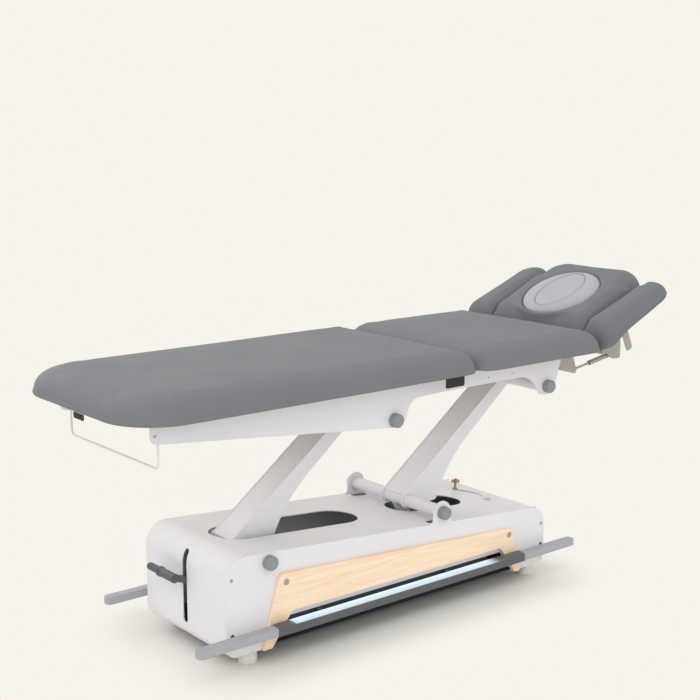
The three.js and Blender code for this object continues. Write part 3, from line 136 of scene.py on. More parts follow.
def settle(piece, where=(0, 0, 0), turn=(0, 0, 0)):  # its place goes into its mesh
    pick(piece)
    piece.location = where
    piece.rotation_euler = turn
    bpy.ops.object.transform_apply(location=True, rotation=True, scale=True)
    return piece


def applied(piece, kind, **values):
    modifier = piece.modifiers.new(kind.lower(), kind)
    for key, value in values.items():
        setattr(modifier, key, value)
    pick(piece)
    bpy.ops.object.modifier_apply(modifier=modifier.name)
    return piece


def cutBy(piece, cutter):
    applied(piece, "BOOLEAN", operation="DIFFERENCE", object=cutter, solver="EXACT")
    bpy.data.objects.remove(cutter)
    return piece


def smooth(piece, angle=35):
    pick(piece)
    bpy.ops.object.shade_smooth_by_angle(angle=math.radians(angle))
    return piece


def roundEdges(piece, width, angle=35, segments=2):
    smooth(piece, angle)
    return applied(
        piece, "BEVEL", width=width, segments=segments, limit_method="ANGLE",
        angle_limit=math.radians(angle), harden_normals=True,
    )


def copyOf(piece, name):
    twin = bpy.data.objects.new(name, piece.data.copy())
    twin.data.name = name
    scene.collection.objects.link(twin)
    return twin


def joined(name, pieces):
    pick(*pieces)
    bpy.ops.object.join()
    return named(name)


def finish(piece, body, slotName, material, *replaced):
    pick(piece)
    if material is not None:
        piece.data.materials.clear()
        piece.data.materials.append(material)
    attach(piece, body)
    if replaced:
        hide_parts(*replaced)
    return piece


def standIn(piece, node, material):  # takes its body from the node that it replaces, and hides that node
    return finish(piece, nodes[node]["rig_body"], slots[node], material, node)


def turnedPiece(name, rings, sides=48):
    # rings of (radius, height) or (half length, half width, height) in mm, from below
    full = [(ring[0] / 1000, ring[-2] / 1000, ring[-1] / 1000) for ring in rings]
    pick()
    bpy.ops.mesh.primitive_circle_add(vertices=sides, radius=1, fill_type="NGON")
    piece = named(name)
    edit(piece)
    bpy.ops.mesh.select_all(action="SELECT")
    wide, deep, height = full[0]
    bpy.ops.transform.resize(value=(wide, deep, 1), center_override=(0, 0, 0))
    bpy.ops.transform.translate(value=(0, 0, height))
    for nextWide, nextDeep, nextHeight in full[1:]:
        bpy.ops.mesh.extrude_region_move(
            TRANSFORM_OT_translate={"value": (0, 0, nextHeight - height)}
        )
        bpy.ops.transform.resize(
            value=(nextWide / wide, nextDeep / deep, 1), center_override=(0, 0, nextHeight)
        )
        wide, deep, height = nextWide, nextDeep, nextHeight
    facedOut()
    return piece


def tube(name, points, radius, sides):  # a round wire through the points, as a curve
    curve = bpy.data.curves.new(name, "CURVE")
    curve.dimensions = "3D"
    line = curve.splines.new("POLY")
    line.points.add(len(points) - 1)
    for point, co in zip(line.points, points):
        point.co = (*co, 1)
    curve.bevel_depth = radius
    curve.bevel_resolution = sides
    curve.use_fill_caps = True
    piece = bpy.data.objects.new(name, curve)
    scene.collection.objects.link(piece)
    return piece


# camera, at the photograph's angle

camera = {
    "place": (-2.4514, -2.889, 1.462), "down": 10.5, "turn": 39, "lens": 66.34, "sensor": 36,
    "reach": 60,
}


def makeCamera(look):
    pick()
    bpy.ops.object.camera_add(
        location=look["place"],
        rotation=(math.radians(90 - look["down"]), 0, math.radians(-look["turn"])),
    )
    eye = bpy.context.object
    eye.data.sensor_width = look["sensor"]
    eye.data.lens = look["lens"]
    eye.data.clip_end = look["reach"]
    scene.camera = eye


makeCamera(camera)
print("stage: camera")


# finishes: shared node groups first


def tint(red, green, blue):  # sRGB 0 to 255, to a linear colour
    def linear(value):
        share = value / 255
        return share / 12.92 if share <= 0.04045 else ((share + 0.055) / 1.055) ** 2.4

    return (linear(red), linear(green), linear(blue), 1)


def addNode(tree, kind, inputs=None, **settings):
    node = tree.nodes.new(kind)
    for key, value in settings.items():
        setattr(node, key, value)
    for socket, value in (inputs or {}).items():
        if isinstance(value, bpy.types.NodeSocket):
            tree.links.new(value, node.inputs[socket])
        else:
            node.inputs[socket].default_value = value
    return node


def maths(tree, operation, first, second=0.0):
    return addNode(tree, "ShaderNodeMath", {0: first, 1: second}, operation=operation).outputs[0]


def minus(tree, first, second):
    return maths(tree, "SUBTRACT", first, second)


def times(tree, first, second):
    return maths(tree, "MULTIPLY", first, second)


def spread(tree, value, low, high, toLow=0.0, toHigh=1.0):
    inputs = {"Value": value, "From Min": low, "From Max": high, "To Min": toLow, "To Max": toHigh}
    return addNode(tree, "ShaderNodeMapRange", inputs, interpolation_type="SMOOTHSTEP").outputs[0]


def mixColour(tree, share, first, second):
    inputs = {0: share, 6: first, 7: second}
    return addNode(tree, "ShaderNodeMix", inputs, data_type="RGBA").outputs[2]


def vectorMaths(tree, operation, first, second=(0, 0, 0)):
    inputs = {0: first, 1: second}
    return addNode(tree, "ShaderNodeVectorMath", inputs, operation=operation).outputs


def stretched(tree, vector, amounts):
    return vectorMaths(tree, "MULTIPLY", vector, amounts)[0]


def axesOf(tree, vector):
    return addNode(tree, "ShaderNodeSeparateXYZ", {0: vector}).outputs


def objectPlace(tree):
    return tree.nodes.new("ShaderNodeTexCoord").outputs["Object"]


def noise(tree, vector, scale, detail=3.0, roughness=0.5, distortion=0.0):
    inputs = {"Vector": vector, "Scale": scale, "Detail": detail}
    inputs.update({"Roughness": roughness, "Distortion": distortion})
    return addNode(tree, "ShaderNodeTexNoise", inputs).outputs["Fac"]


def newGroup(name, inputs, outputs):
    tree = bpy.data.node_groups.new(name, "ShaderNodeTree")
    for label, kind in inputs.items():
        tree.interface.new_socket(label, in_out="INPUT", socket_type="NodeSocket" + kind)
    for label, kind in outputs.items():
        tree.interface.new_socket(label, in_out="OUTPUT", socket_type="NodeSocket" + kind)
    return tree, tree.nodes.new("NodeGroupInput").outputs, tree.nodes.new("NodeGroupOutput")


def heightGroup(name):
    return newGroup(name, {"Vector": "Vector", "Scale": "Float"}, {"Height": "Float"})


patterns = {  # (low, high) bands of noise, shares, and scales per metre
    "cloud": (0.3, 0.7), "cloudDetail": 4, "creases": (0.0, 0.35), "fineTimes": 2.5,
    "fineShare": 0.3, "waveScale": 9.0, "waveShare": 6.0, "brushLength": 0.05,
    "lowMarkScale": 70.0, "lowMarkDetail": 6, "lowMarkRough": 0.7, "lowMarks": (0.52, 0.72),
    "grainFlow": (1.0, 2.0, 16.0), "figureScale": 4.5, "figureDetail": 5, "figureRough": 0.6,
    "figureTwist": 0.7, "fibreFlow": (9.0, 160.0, 260.0), "pores": (0.6, 0.75),
    "poreShare": 0.35, "woodRough": (0.42, 0.58), "glowStart": (-0.008, 0.008),
    "glowStop": (-0.03, 0.03), "glowLift": (-0.0022, -0.0004), "glowAcross": (0.1, 1.0),
    "bumpStrength": 0.6, "woodBump": 0.5, "woodDepth": 0.00015, "woodCoat": 0.1,
    "woodCoatRough": 0.4,
}


def softToneGroup(look):  # large, faint changes of lightness
    tree, given, out = newGroup(
        "soft tone",
        {"Vector": "Vector", "Colour": "Color", "Scale": "Float", "Amount": "Float"},
        {"Colour": "Color"},
    )
    cloud = noise(tree, given["Vector"], given["Scale"], look["cloudDetail"])
    swing = times(tree, minus(tree, spread(tree, cloud, *look["cloud"]), 0.5), given["Amount"])
    value = maths(tree, "ADD", swing, 1.0)
    toned = addNode(tree, "ShaderNodeHueSaturation", {"Value": value, "Color": given["Colour"]})
    tree.links.new(toned.outputs[0], out.inputs["Colour"])
    return tree


def skinGrainGroup(look):  # pebbled vinyl: small cells with fine creases between them
    tree, given, out = heightGroup("skin grain")
    inputs = {"Vector": given["Vector"], "Scale": given["Scale"]}
    cells = addNode(tree, "ShaderNodeTexVoronoi", inputs, feature="DISTANCE_TO_EDGE")
    pebble = spread(tree, cells.outputs["Distance"], *look["creases"])
    fine = noise(tree, given["Vector"], times(tree, given["Scale"], look["fineTimes"]), 2)
    wave = noise(tree, given["Vector"], look["waveScale"], 2)
    height = maths(tree, "ADD", times(tree, fine, look["fineShare"]), pebble)
    height = maths(tree, "ADD", height, times(tree, wave, look["waveShare"]))
    tree.links.new(height, out.inputs["Height"])
    return tree


def coatPeelGroup(look):  # the orange peel of powder coat and moulded plastic
    tree, given, out = heightGroup("coat peel")
    tree.links.new(noise(tree, given["Vector"], given["Scale"], 2), out.inputs["Height"])
    return tree


def brushedGroup(look):  # fine lines along X on drawn and turned metal
    tree, given, out = heightGroup("brushed")
    drawn = stretched(tree, given["Vector"], (look["brushLength"], 1, 1))
    tree.links.new(noise(tree, drawn, given["Scale"], 3), out.inputs["Height"])
    return tree


def lowMarkGroup(look):  # darker marks near the bottom, that thin out above a level
    tree, given, out = newGroup(
        "lowMarks", {"Vector": "Vector", "Level": "Float", "Reach": "Float"}, {"Mask": "Float"}
    )
    height = axesOf(tree, given["Vector"])["Z"]
    above = maths(tree, "DIVIDE", minus(tree, height, given["Level"]), given["Reach"])
    fade = spread(tree, above, 0.0, 1.0, 1.0, 0.0)
    marks = noise(
        tree, given["Vector"], look["lowMarkScale"], look["lowMarkDetail"], look["lowMarkRough"]
    )
    mask = times(tree, fade, spread(tree, marks, *look["lowMarks"]))
    tree.links.new(mask, out.inputs["Mask"])
    return tree


def woodFigureGroup(look):  # pale wood: long soft figure, fibres and pores along X
    tree, given, out = newGroup(
        "wood figure",
        {"Vector": "Vector", "Light": "Color", "Dark": "Color", "Pore": "Color"},
        {"Colour": "Color", "Height": "Float", "Rough": "Float"},
    )
    figure = noise(
        tree, stretched(tree, given["Vector"], look["grainFlow"]), look["figureScale"],
        look["figureDetail"], look["figureRough"], look["figureTwist"],
    )
    fibre = noise(
        tree, stretched(tree, given["Vector"], look["fibreFlow"]), 1.0, 3, look["figureRough"]
    )
    pores = times(tree, spread(tree, fibre, *look["pores"]), look["poreShare"])
    base = mixColour(tree, spread(tree, figure, *look["cloud"]), given["Light"], given["Dark"])
    tree.links.new(mixColour(tree, pores, base, given["Pore"]), out.inputs["Colour"])
    tree.links.new(fibre, out.inputs["Height"])
    rough = spread(tree, fibre, *look["cloud"], *look["woodRough"])
    tree.links.new(rough, out.inputs["Rough"])
    return tree


def paintedLightGroup(look):  # painted light: the strip's light that falls along the top of a bar, with soft ends
    inputs = dict.fromkeys(("Start", "End", "Top", "Inner", "Outer"), "Float")
    inputs.update({"Vector": "Vector", "Bright": "Color", "Dim": "Color"})
    tree, given, out = newGroup("strip glow", inputs, {"Colour": "Color"})
    axes = axesOf(tree, given["Vector"])
    side = maths(tree, "ABSOLUTE", axes["Y"])
    begin = spread(tree, minus(tree, axes["X"], given["Start"]), *look["glowStart"])
    stop = spread(tree, minus(tree, given["End"], axes["X"]), *look["glowStop"])
    lift = spread(tree, minus(tree, axes["Z"], given["Top"]), *look["glowLift"])
    mask = times(tree, times(tree, begin, stop), lift)
    width = minus(tree, given["Outer"], given["Inner"])
    across = maths(tree, "DIVIDE", minus(tree, side, given["Inner"]), width)
    share = spread(tree, across, *look["glowAcross"])
    shade = mixColour(tree, share, given["Bright"], given["Dim"])
    tree.links.new(mixColour(tree, mask, (0, 0, 0, 1), shade), out.inputs["Colour"])
    return tree


groups = {
    "tone": softToneGroup(patterns),
    "skin": skinGrainGroup(patterns),
    "peel": coatPeelGroup(patterns),
    "brushed": brushedGroup(patterns),
    "lowMarks": lowMarkGroup(patterns),
    "wood": woodFigureGroup(patterns),
    "glow": paintedLightGroup(patterns),
}


def useGroup(tree, key, inputs):
    return addNode(tree, "ShaderNodeGroup", inputs, node_tree=groups[key]).outputs


def blankMaterial(name, colour):
    material = bpy.data.materials.new(name)
    material.use_nodes = True
    material.diffuse_color = colour
    tree = material.node_tree
    return material, tree, tree.nodes["Principled BSDF"], objectPlace(tree)


def addBump(tree, shader, height, depth, strength):
    inputs = {"Height": height, "Distance": depth, "Strength": strength}
    bump = addNode(tree, "ShaderNodeBump", inputs)
    tree.links.new(bump.outputs[0], shader.inputs["Normal"])


def newMaterial(name, colour, tone, rough, bump, more):
    # more: metal, specular, lowMarks (level, reach, colour) for darker marks near the bottom, and
    # shine (colour, strength)
    colour = tint(*colour)
    material, tree, shader, where = blankMaterial(name, colour)
    scale, amount = tone
    inputs = {"Vector": where, "Colour": colour, "Scale": scale, "Amount": amount}
    colour = useGroup(tree, "tone", inputs)["Colour"]
    if "lowMarks" in more:
        level, reach, mark = more["lowMarks"]
        lowMarked = useGroup(tree, "lowMarks", {"Vector": where, "Level": level, "Reach": reach})["Mask"]
        colour = mixColour(tree, lowMarked, colour, mark)
    tree.links.new(colour, shader.inputs["Base Color"])
    swing = spread(tree, noise(tree, where, scale * 3, 3), *patterns["cloud"], *rough)
    tree.links.new(swing, shader.inputs["Roughness"])
    kind, fine, depth = bump
    height = useGroup(tree, kind, {"Vector": where, "Scale": fine})["Height"]
    addBump(tree, shader, height, depth, patterns["bumpStrength"])
    shader.inputs["Metallic"].default_value = more.get("metal", 0)
    shader.inputs["Specular IOR Level"].default_value = more.get("specular", 0.5)
    if "shine" in more:
        light, strength = more["shine"]
        shader.inputs["Emission Color"].default_value = light
        shader.inputs["Emission Strength"].default_value = strength
    return material


looks = {  # colour, tone (scale, amount), rough (low, high), bump (group, scale, depth), more
    "whitePaint": (
        (229, 227, 229), (3, 0.03), (0.36, 0.46), ("peel", 420, 0.00006),
        {"specular": 0.4, "lowMarks": (0.036, 0.05, tint(196, 195, 194))},
    ),
    "darkSheet": ((58, 66, 71), (5, 0.12), (0.45, 0.6), ("peel", 380, 0.00006), {"metal": 0.3}),
    "brightSteel": (
        (176, 177, 180), (12, 0.08), (0.24, 0.38), ("brushed", 900, 0.00004),
        {"metal": 0.9},
    ),
    "capPlastic": ((140, 143, 150), (14, 0.06), (0.42, 0.55), ("peel", 900, 0.00006), {}),
    "barEnd": (
        (166, 166, 172), (6, 0.05), (0.45, 0.58), ("peel", 800, 0.00007),
        {"lowMarks": (0.083, 0.02, tint(136, 136, 140))},
    ),
    "barMiddle": ((87, 88, 91), (5, 0.06), (0.4, 0.52), ("peel", 800, 0.00007), {}),
    "castorGrip": ((84, 86, 91), (16, 0.08), (0.45, 0.6), ("peel", 800, 0.00008), {}),
    "blackPlastic": ((34, 35, 38), (10, 0.1), (0.4, 0.55), ("peel", 700, 0.00008), {}),
    "tyreRubber": ((44, 44, 46), (20, 0.15), (0.7, 0.85), ("peel", 500, 0.0001), {}),
    "footPlastic": (
        (222, 219, 212), (12, 0.05), (0.5, 0.62), ("peel", 800, 0.00006),
        {"lowMarks": (0.0, 0.02, tint(176, 172, 164))},
    ),
    "lampCover": (
        (226, 246, 252), (9, 0.03), (0.35, 0.5), ("peel", 700, 0.00004),
        {"shine": (tint(204, 234, 246), 1.9)},
    ),
    "vinyl": (
        (120, 121, 126), (2.2, 0.04), (0.58, 0.68), ("skin", 850, 0.00012),
        {"specular": 0.2},
    ),
    "headVinyl": (
        (114, 116, 121), (4, 0.04), (0.58, 0.68), ("skin", 850, 0.00012),
        {"specular": 0.2},
    ),
    "plugVinyl": (
        (171, 170, 175), (6, 0.04), (0.5, 0.6), ("skin", 950, 0.00009),
        {"specular": 0.3},
    ),
    "greigeMetal": (
        (172, 165, 159), (9, 0.07), (0.34, 0.46), ("peel", 500, 0.00006),
        {"metal": 0.25},
    ),
    "bronze": (
        (168, 150, 122), (40, 0.15), (0.26, 0.4), ("brushed", 1200, 0.00005),
        {"metal": 0.9},
    ),
    "wireSteel": (
        (206, 206, 210), (60, 0.06), (0.25, 0.35), ("brushed", 1500, 0.00003),
        {"metal": 0.5},
    ),
    "tagCloth": ((38, 38, 42), (60, 0.2), (0.75, 0.9), ("skin", 1600, 0.0002), {}),
}
finishes = {name: newMaterial(name, *look) for name, look in looks.items()}


def woodMaterial(name, light, dark, pore):
    material, tree, shader, where = blankMaterial(name, light)
    figure = useGroup(tree, "wood", {"Vector": where, "Light": light, "Dark": dark, "Pore": pore})
    tree.links.new(figure["Colour"], shader.inputs["Base Color"])
    tree.links.new(figure["Rough"], shader.inputs["Roughness"])
    addBump(tree, shader, figure["Height"], patterns["woodDepth"], patterns["woodBump"])
    shader.inputs["Coat Weight"].default_value = patterns["woodCoat"]
    shader.inputs["Coat Roughness"].default_value = patterns["woodCoatRough"]
    return material


woods = {  # light, dark and pore
    "maple": (tint(253, 230, 204), tint(246, 213, 178), tint(228, 188, 148)),
    "plywood": (tint(206, 198, 186), tint(190, 180, 164), tint(156, 146, 130)),
}
for name, colours in woods.items():
    finishes[name] = woodMaterial(name, *colours)

# painted light on the bar's top: its ends, top, inner and outer edges and colours
paintedStripLight = {
    "Start": -0.505, "End": 0.255, "Top": 0.110, "Inner": 0.2228, "Outer": 0.2578,
    "Bright": tint(222, 236, 244), "Dim": tint(192, 212, 224),
}


def addPaintedLight(material, glow, strength):  # painted light: the strip's light, as emission on a finish that is no lamp
    tree = material.node_tree
    shader = tree.nodes["Principled BSDF"]
    lit = useGroup(tree, "glow", {"Vector": objectPlace(tree), **glow})["Colour"]
    tree.links.new(lit, shader.inputs["Emission Color"])
    shader.inputs["Emission Strength"].default_value = strength


# the bar's middle glows with the strip's painted light along its top
addPaintedLight(finishes["barMiddle"], paintedStripLight, 1.0)
print("stage: finishes")


# the key's tether: a thin wire that rests on the cover

wire = {  # mm; the path is (from the head end, across)
    "path": (
        (115, 77), (113, 66), (106, 52), (97, 34), (91, 12), (92, -10), (98, -27), (106, -37),
        (110, -44.8),
    ),
    "headEnd": 532, "footEnd": -681, "highTop": 316.7, "lowTop": 223.5, "above": 1.8,
    "diameter": 3, "steps": 3, "sides": 5,
}


def coverTop(x, look):
    share = (x - look["footEnd"]) / (look["headEnd"] - look["footEnd"])
    return look["highTop"] + (look["lowTop"] - look["highTop"]) * share


def curved(points, steps):  # a Catmull-Rom curve through the points
    ends = [points[0] * 2 - points[1], *points, points[-1] * 2 - points[-2]]
    fine = []
    for before, start, stop, after in zip(ends, ends[1:], ends[2:], ends[3:]):
        for step in range(steps):
            t = step / steps
            bend = start * 2 + (stop - before) * t
            bend += (before * 2 - start * 5 + stop * 4 - after) * t ** 2
            bend += (start * 3 - before - stop * 3 + after) * t ** 3
            fine.append(bend / 2)
    return fine + [points[-1]]


def makeTether(look):
    points = []
    for inward, across in look["path"]:
        x = look["headEnd"] - inward
        points.append(place(x, across, coverTop(x, look) + look["above"]))
    fine = curved(points, look["steps"])
    cable = tube("key_tether_wire", fine, look["diameter"] / 2000, look["sides"])
    cable.data.materials.append(finishes["wireSteel"])
    length = sum((b - a).length for a, b in zip(fine, fine[1:]))
    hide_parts("key_tether")
    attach(cable, nodes["key_tether"]["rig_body"])
    return length


print("stage: tether", round(makeTether(wire), 4), "m")


# hard CAD pieces, made again with rounded edges

refinements = {  # node: finish, edge radius in mm
    "base_cover": ("whitePaint", 1.2),
    "base_chassis": ("darkSheet", 0.6),
    "foot_arm": ("whitePaint", 2.0),
    "head_arm": ("whitePaint", 2.0),
    "foot_crossbar": ("whitePaint", 1.5),
    "base_foot_axle": ("brightSteel", 0.8),
    "base_head_axle": ("brightSteel", 0.8),
    "top_foot_axle": ("brightSteel", 0.8),
    "top_head_axle": ("brightSteel", 0.8),
    "castor_lever": ("castorGrip", 0.8),
    "castor_carriage": ("darkSheet", 0.8),
    "actuator_housing": ("blackPlastic", 1.5),
    "actuator_rod": ("brightSteel", 0.6),
    "control_box": ("blackPlastic", 3.0),
    "power_inlet": ("blackPlastic", 0.8),
    "tether_button": ("wireSteel", 1.0),
    "lock_key": ("bronze", 0.4),
    "head_frame": ("greigeMetal", 1.0),
    "head_hinge_bracket": ("greigeMetal", 1.0),
    "tilt_strut_cylinder": ("greigeMetal", 0.8),
    "tilt_strut_rod": ("brightSteel", 0.5),
}
pairs = {  # the same for the front and the back one
    "side_plate": ("whitePaint", 2.2),
    "wood_panel": ("maple", 1.6),
    "rail": ("whitePaint", 1.0),
    "pad_bracket": ("greigeMetal", 0.8),
    "light_strip": ("lampCover", 1.0),
}
for name, values in pairs.items():
    for side in ("front", "back"):
        refinements[name + "_" + side] = values
cleaning = {"weld": 0.00002, "flat": math.radians(1), "bendAngle": 34}


def refined(node, material, radius):
    twin = copyOf(nodes[node], node + "_finished")
    edit(twin)
    bpy.ops.mesh.select_all(action="SELECT")
    bpy.ops.mesh.remove_doubles(threshold=cleaning["weld"])
    bpy.ops.mesh.dissolve_limited(angle_limit=cleaning["flat"])
    bpy.ops.object.mode_set(mode="OBJECT")
    bpy.ops.mesh.customdata_custom_splitnormals_clear()
    roundEdges(twin, radius / 1000, cleaning["bendAngle"])
    standIn(twin, node, finishes[material])


for node, (material, radius) in refinements.items():
    refined(node, material, radius)
print("stage: hard pieces", len(refinements))


# upholstery: a slab rounded by its distance from the outline, then swollen as cloth

padding = {  # metres, shares and cloth settings
    "voxel": 0.006, "topRound": 0.008, "lowRound": 0.006, "roundWidth": 0.062,
    "sideShare": 0.3, "crown": 0.008, "crownWidth": 0.28, "seamBand": (9, 9), "seamLength": 0.1,
    "seamWidth": 0.03, "seamShare": 0.72, "taper": 0, "taperFrom": 0.012, "taperOver": 0.37,
    "under": 0.003, "underOver": 0, "heldUpTo": 0.012, "pressure": 4, "quality": 5,
    "stiffness": 12, "bending": 0.6, "frames": 16, "mostMove": 0.003, "smoothing": 7,
    "cornerSides": 14, "rimSides": 8, "boardRound": 0.001, "boardAngle": 40,
}
sameSpot = 0.0005
sameLevel = 1e-5
order = ((-1, -1), (1, -1), (1, 1), (-1, 1))  # a plane's corners, counter-clockwise


def slab(name, corners, bottom, top):  # corners are (x, y, radius) in metres, counter-clockwise
    pick()
    bpy.ops.mesh.primitive_plane_add(size=2)
    piece = named(name)
    for vert in piece.data.vertices:
        nearest = min(range(4), key=lambda i: math.dist(vert.co.xy, order[i]))
        vert.co = (*corners[nearest][:2], bottom)
    for x, y, radius in corners:
        bevelled(
            piece, "VERT", lambda co: abs(co.x - x) < sameSpot and abs(co.y - y) < sameSpot,
            radius, padding["cornerSides"],
        )
    return thickened(piece, (0, 0, top - bottom))


def roundRim(piece, height, radius):
    bevelled(
        piece, "EDGE", lambda *ends: all(abs(co.z - height) < sameLevel for co in ends),
        radius, padding["rimSides"],
    )


def outlineOf(piece, bottom):  # the slab's lowest face, as a loop of points
    for face in piece.data.polygons:
        if face.normal.z < 0 and abs(face.center.z - bottom) < sameLevel:
            return [tuple(piece.data.vertices[index].co.xy) for index in face.vertices]


def eased(share):  # 0 to 1 with soft ends
    share = numpy.clip(share, 0, 1)
    return share * share * (3 - 2 * share)


def bowed(share):  # 0 to 1 along a quarter of a circle
    return numpy.sqrt(1 - (1 - numpy.clip(share, 0, 1)) ** 2)


def distances(points, segments):  # from each point to the nearest segment, in plan
    nearest = numpy.full(len(points), 9.0)
    for start, stop in segments:
        along = numpy.array(stop) - numpy.array(start)
        offset = points[:, :2] - numpy.array(start)
        share = numpy.clip(offset @ along / max(along @ along, 1e-12), 0, 1)
        gap = numpy.linalg.norm(offset - share[:, None] * along, axis=1)
        nearest = numpy.minimum(nearest, gap)
    return nearest


def domed(piece, outline, bottom, top, look):
    # the top falls softly to its free edges, and only a little to the seams beside it
    points = numpy.empty(len(piece.data.vertices) * 3)
    piece.data.vertices.foreach_get("co", points)
    points = points.reshape(-1, 3)
    segments = list(zip(outline, outline[1:] + outline[:1]))
    least, most = look["seamBand"]
    seams = [
        pair for pair in segments
        if math.dist(*pair) > look["seamLength"]
        and all(least <= abs(point[1]) <= most for point in pair)
    ]
    away = distances(points, [pair for pair in segments if pair not in seams])
    edge = bowed(away / look["roundWidth"])
    arch = look["sideShare"] + (1 - look["sideShare"]) * edge
    if seams:
        seam = bowed(distances(points, seams) / look["seamWidth"])
        arch *= look["seamShare"] + (1 - look["seamShare"]) * seam
    along = points[:, 0] - look["taperFrom"]
    arch *= 1 - look["taper"] * eased(along / look["taperOver"])
    swell = look["crown"] * (1 - (1 - numpy.clip(away / look["crownWidth"], 0, 1)) ** 2)
    under = look["under"] * (1 - edge)
    if look["underOver"]:
        under *= eased(along / look["underOver"])
    height = (points[:, 2] - bottom) / (top - bottom)
    thick = arch * (top - bottom - look["crown"]) + swell - under
    points[:, 2] = bottom + under + height * thick
    piece.data.vertices.foreach_set("co", points.ravel())
    piece.data.update()


def puff(piece, look, bottom):  # cloth under pressure, its underside held on the board
    rest = [vert.co.copy() for vert in piece.data.vertices]
    held = piece.vertex_groups.new(name="held")
    low = [vert.index for vert in piece.data.vertices if vert.co.z < bottom + look["heldUpTo"]]
    held.add(low, 1.0, "REPLACE")
    pick(piece)
    cloth = piece.modifiers.new("puff", "CLOTH")
    settings = cloth.settings
    settings.use_pressure = True
    settings.uniform_pressure_force = look["pressure"]
    settings.effector_weights.gravity = 0
    settings.vertex_group_mass = "held"
    settings.quality = look["quality"]
    settings.tension_stiffness = look["stiffness"]
    settings.compression_stiffness = look["stiffness"]
    settings.shear_stiffness = look["stiffness"]
    settings.bending_stiffness = look["bending"]
    cloth.point_cache.frame_start = 1
    cloth.point_cache.frame_end = look["frames"]
    for frameNumber in range(1, look["frames"] + 1):
        scene.frame_set(frameNumber)
    shaped = piece.evaluated_get(bpy.context.evaluated_depsgraph_get())
    found = [vert.co.copy() for vert in shaped.data.vertices]
    piece.modifiers.remove(cloth)
    piece.vertex_groups.clear()
    scene.frame_set(1)
    most = 0
    for vert, start, stop in zip(piece.data.vertices, rest, found):
        move = stop - start
        most = max(most, move.length)
        if move.length > look["mostMove"]:
            move *= look["mostMove"] / move.length
        vert.co = start + move
    print("  ", piece.name, "swelled", round(most * 1000, 1), "mm")


def cushion(name, corners, bottom, top, look, cutter=None):
    piece = slab(name, corners, bottom, top)
    outline = outlineOf(piece, bottom)
    roundRim(piece, top, look["topRound"])
    roundRim(piece, bottom, look["lowRound"])
    if cutter:
        cutBy(piece, cutter)
    applied(piece, "REMESH", mode="VOXEL", voxel_size=look["voxel"], use_smooth_shade=True)
    domed(piece, outline, bottom, top, look)
    puff(piece, look, bottom)
    applied(piece, "SMOOTH", factor=0.5, iterations=look["smoothing"])
    applied(piece, "SUBSURF", levels=1, render_levels=1)
    pick(piece)
    bpy.ops.object.shade_smooth()
    return piece


def cornersOf(low, high, footRadius, headRadius):
    return (
        (low.x, low.y, footRadius), (high.x, low.y, headRadius),
        (high.x, high.y, headRadius), (low.x, high.y, footRadius),
    )


def flatCushion(node, look, radii):
    low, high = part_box(node)
    corners = cornersOf(low, high, *radii)
    piece = cushion(node + "_padded", corners, low.z, high.z, look)
    standIn(piece, node, finishes["vinyl"])


def boardUnder(node, look, radii):  # the board that the cushion is drawn over
    low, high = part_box(node)
    board = slab(node + "_finished", cornersOf(low, high, *radii), low.z, high.z)
    standIn(roundEdges(board, look["boardRound"], look["boardAngle"]), node, finishes["plywood"])


sections = {  # corner radii at the foot end and at the head end
    "leg": {"cushion": (0.150, 0.055), "board": (0.125, 0.045)},
    "mid": {"cushion": (0.060, 0.060), "board": (0.040, 0.040)},
}
for name, radii in sections.items():
    flatCushion(name + "_cushion", padding, radii["cushion"])
    boardUnder(name + "_board", padding, radii["board"])
print("stage: flat cushions")


# the head section, modelled flat and laid on its slope

slope = {  # degrees and mm; the end by the hinge leans over by lean, which fades over leanReach
    "turn": 24.5, "bottom": 10.3, "top": 82.3, "lean": 28, "leanReach": 130, "root": 12,
}
hinge = (0.65934, 0, 0.712)


def leanRoot(piece, hole=None):  # towards the head, more at the top
    low, thick = slope["bottom"] / 1000, (slope["top"] - slope["bottom"]) / 1000
    for vert in piece.data.vertices:
        share = max(0, (vert.co.z - low) / thick)
        if hole:  # the seat of the face plug stays round
            centre, radius, reach = hole
            share *= eased((math.hypot(vert.co.x - centre, vert.co.y) - radius) / reach)
        reach = eased((vert.co.x - slope["root"] / 1000) / (slope["leanReach"] / 1000))
        vert.co.x += slope["lean"] / 1000 * share * (1 - reach)


def layOnSlope(piece):
    return settle(piece, hinge, (0, math.radians(-slope["turn"]), 0))


headPadding = {
    **padding, "voxel": 0.005, "roundWidth": 0.055, "crown": 0, "seamBand": (0.2, 0.204),
    "under": 0.008, "smoothing": 4,
    "corners": ((12, -202, 16), (405, -202, 95), (405, 202, 95), (12, 202, 16)),
    "hole": 97, "seat": 134, "seatHeight": 66.3, "seatSlant": 4, "cutFrom": -20, "cutTo": 120,
    "plugAlong": 190, "seatReach": 52, "sides": 64,
}
armPadding = {
    **padding, "voxel": 0.0045, "roundWidth": 0.046, "crown": 0, "seamBand": (0.204, 0.216),
    "taper": 0.24, "under": 0.02, "underOver": 0.13, "smoothing": 4,
    "corners": ((12, 206, 16), (374, 214, 34), (374, 325, 72), (12, 325, 30)),
}


def headPiece(node, corners, look, hole=None, cutter=None):
    corners = [tuple(value / 1000 for value in corner) for corner in corners]
    bottom, top = slope["bottom"] / 1000, slope["top"] / 1000
    piece = cushion(node + "_padded", corners, bottom, top, look, cutter)
    leanRoot(piece, hole)
    standIn(layOnSlope(piece), node, finishes["headVinyl"])


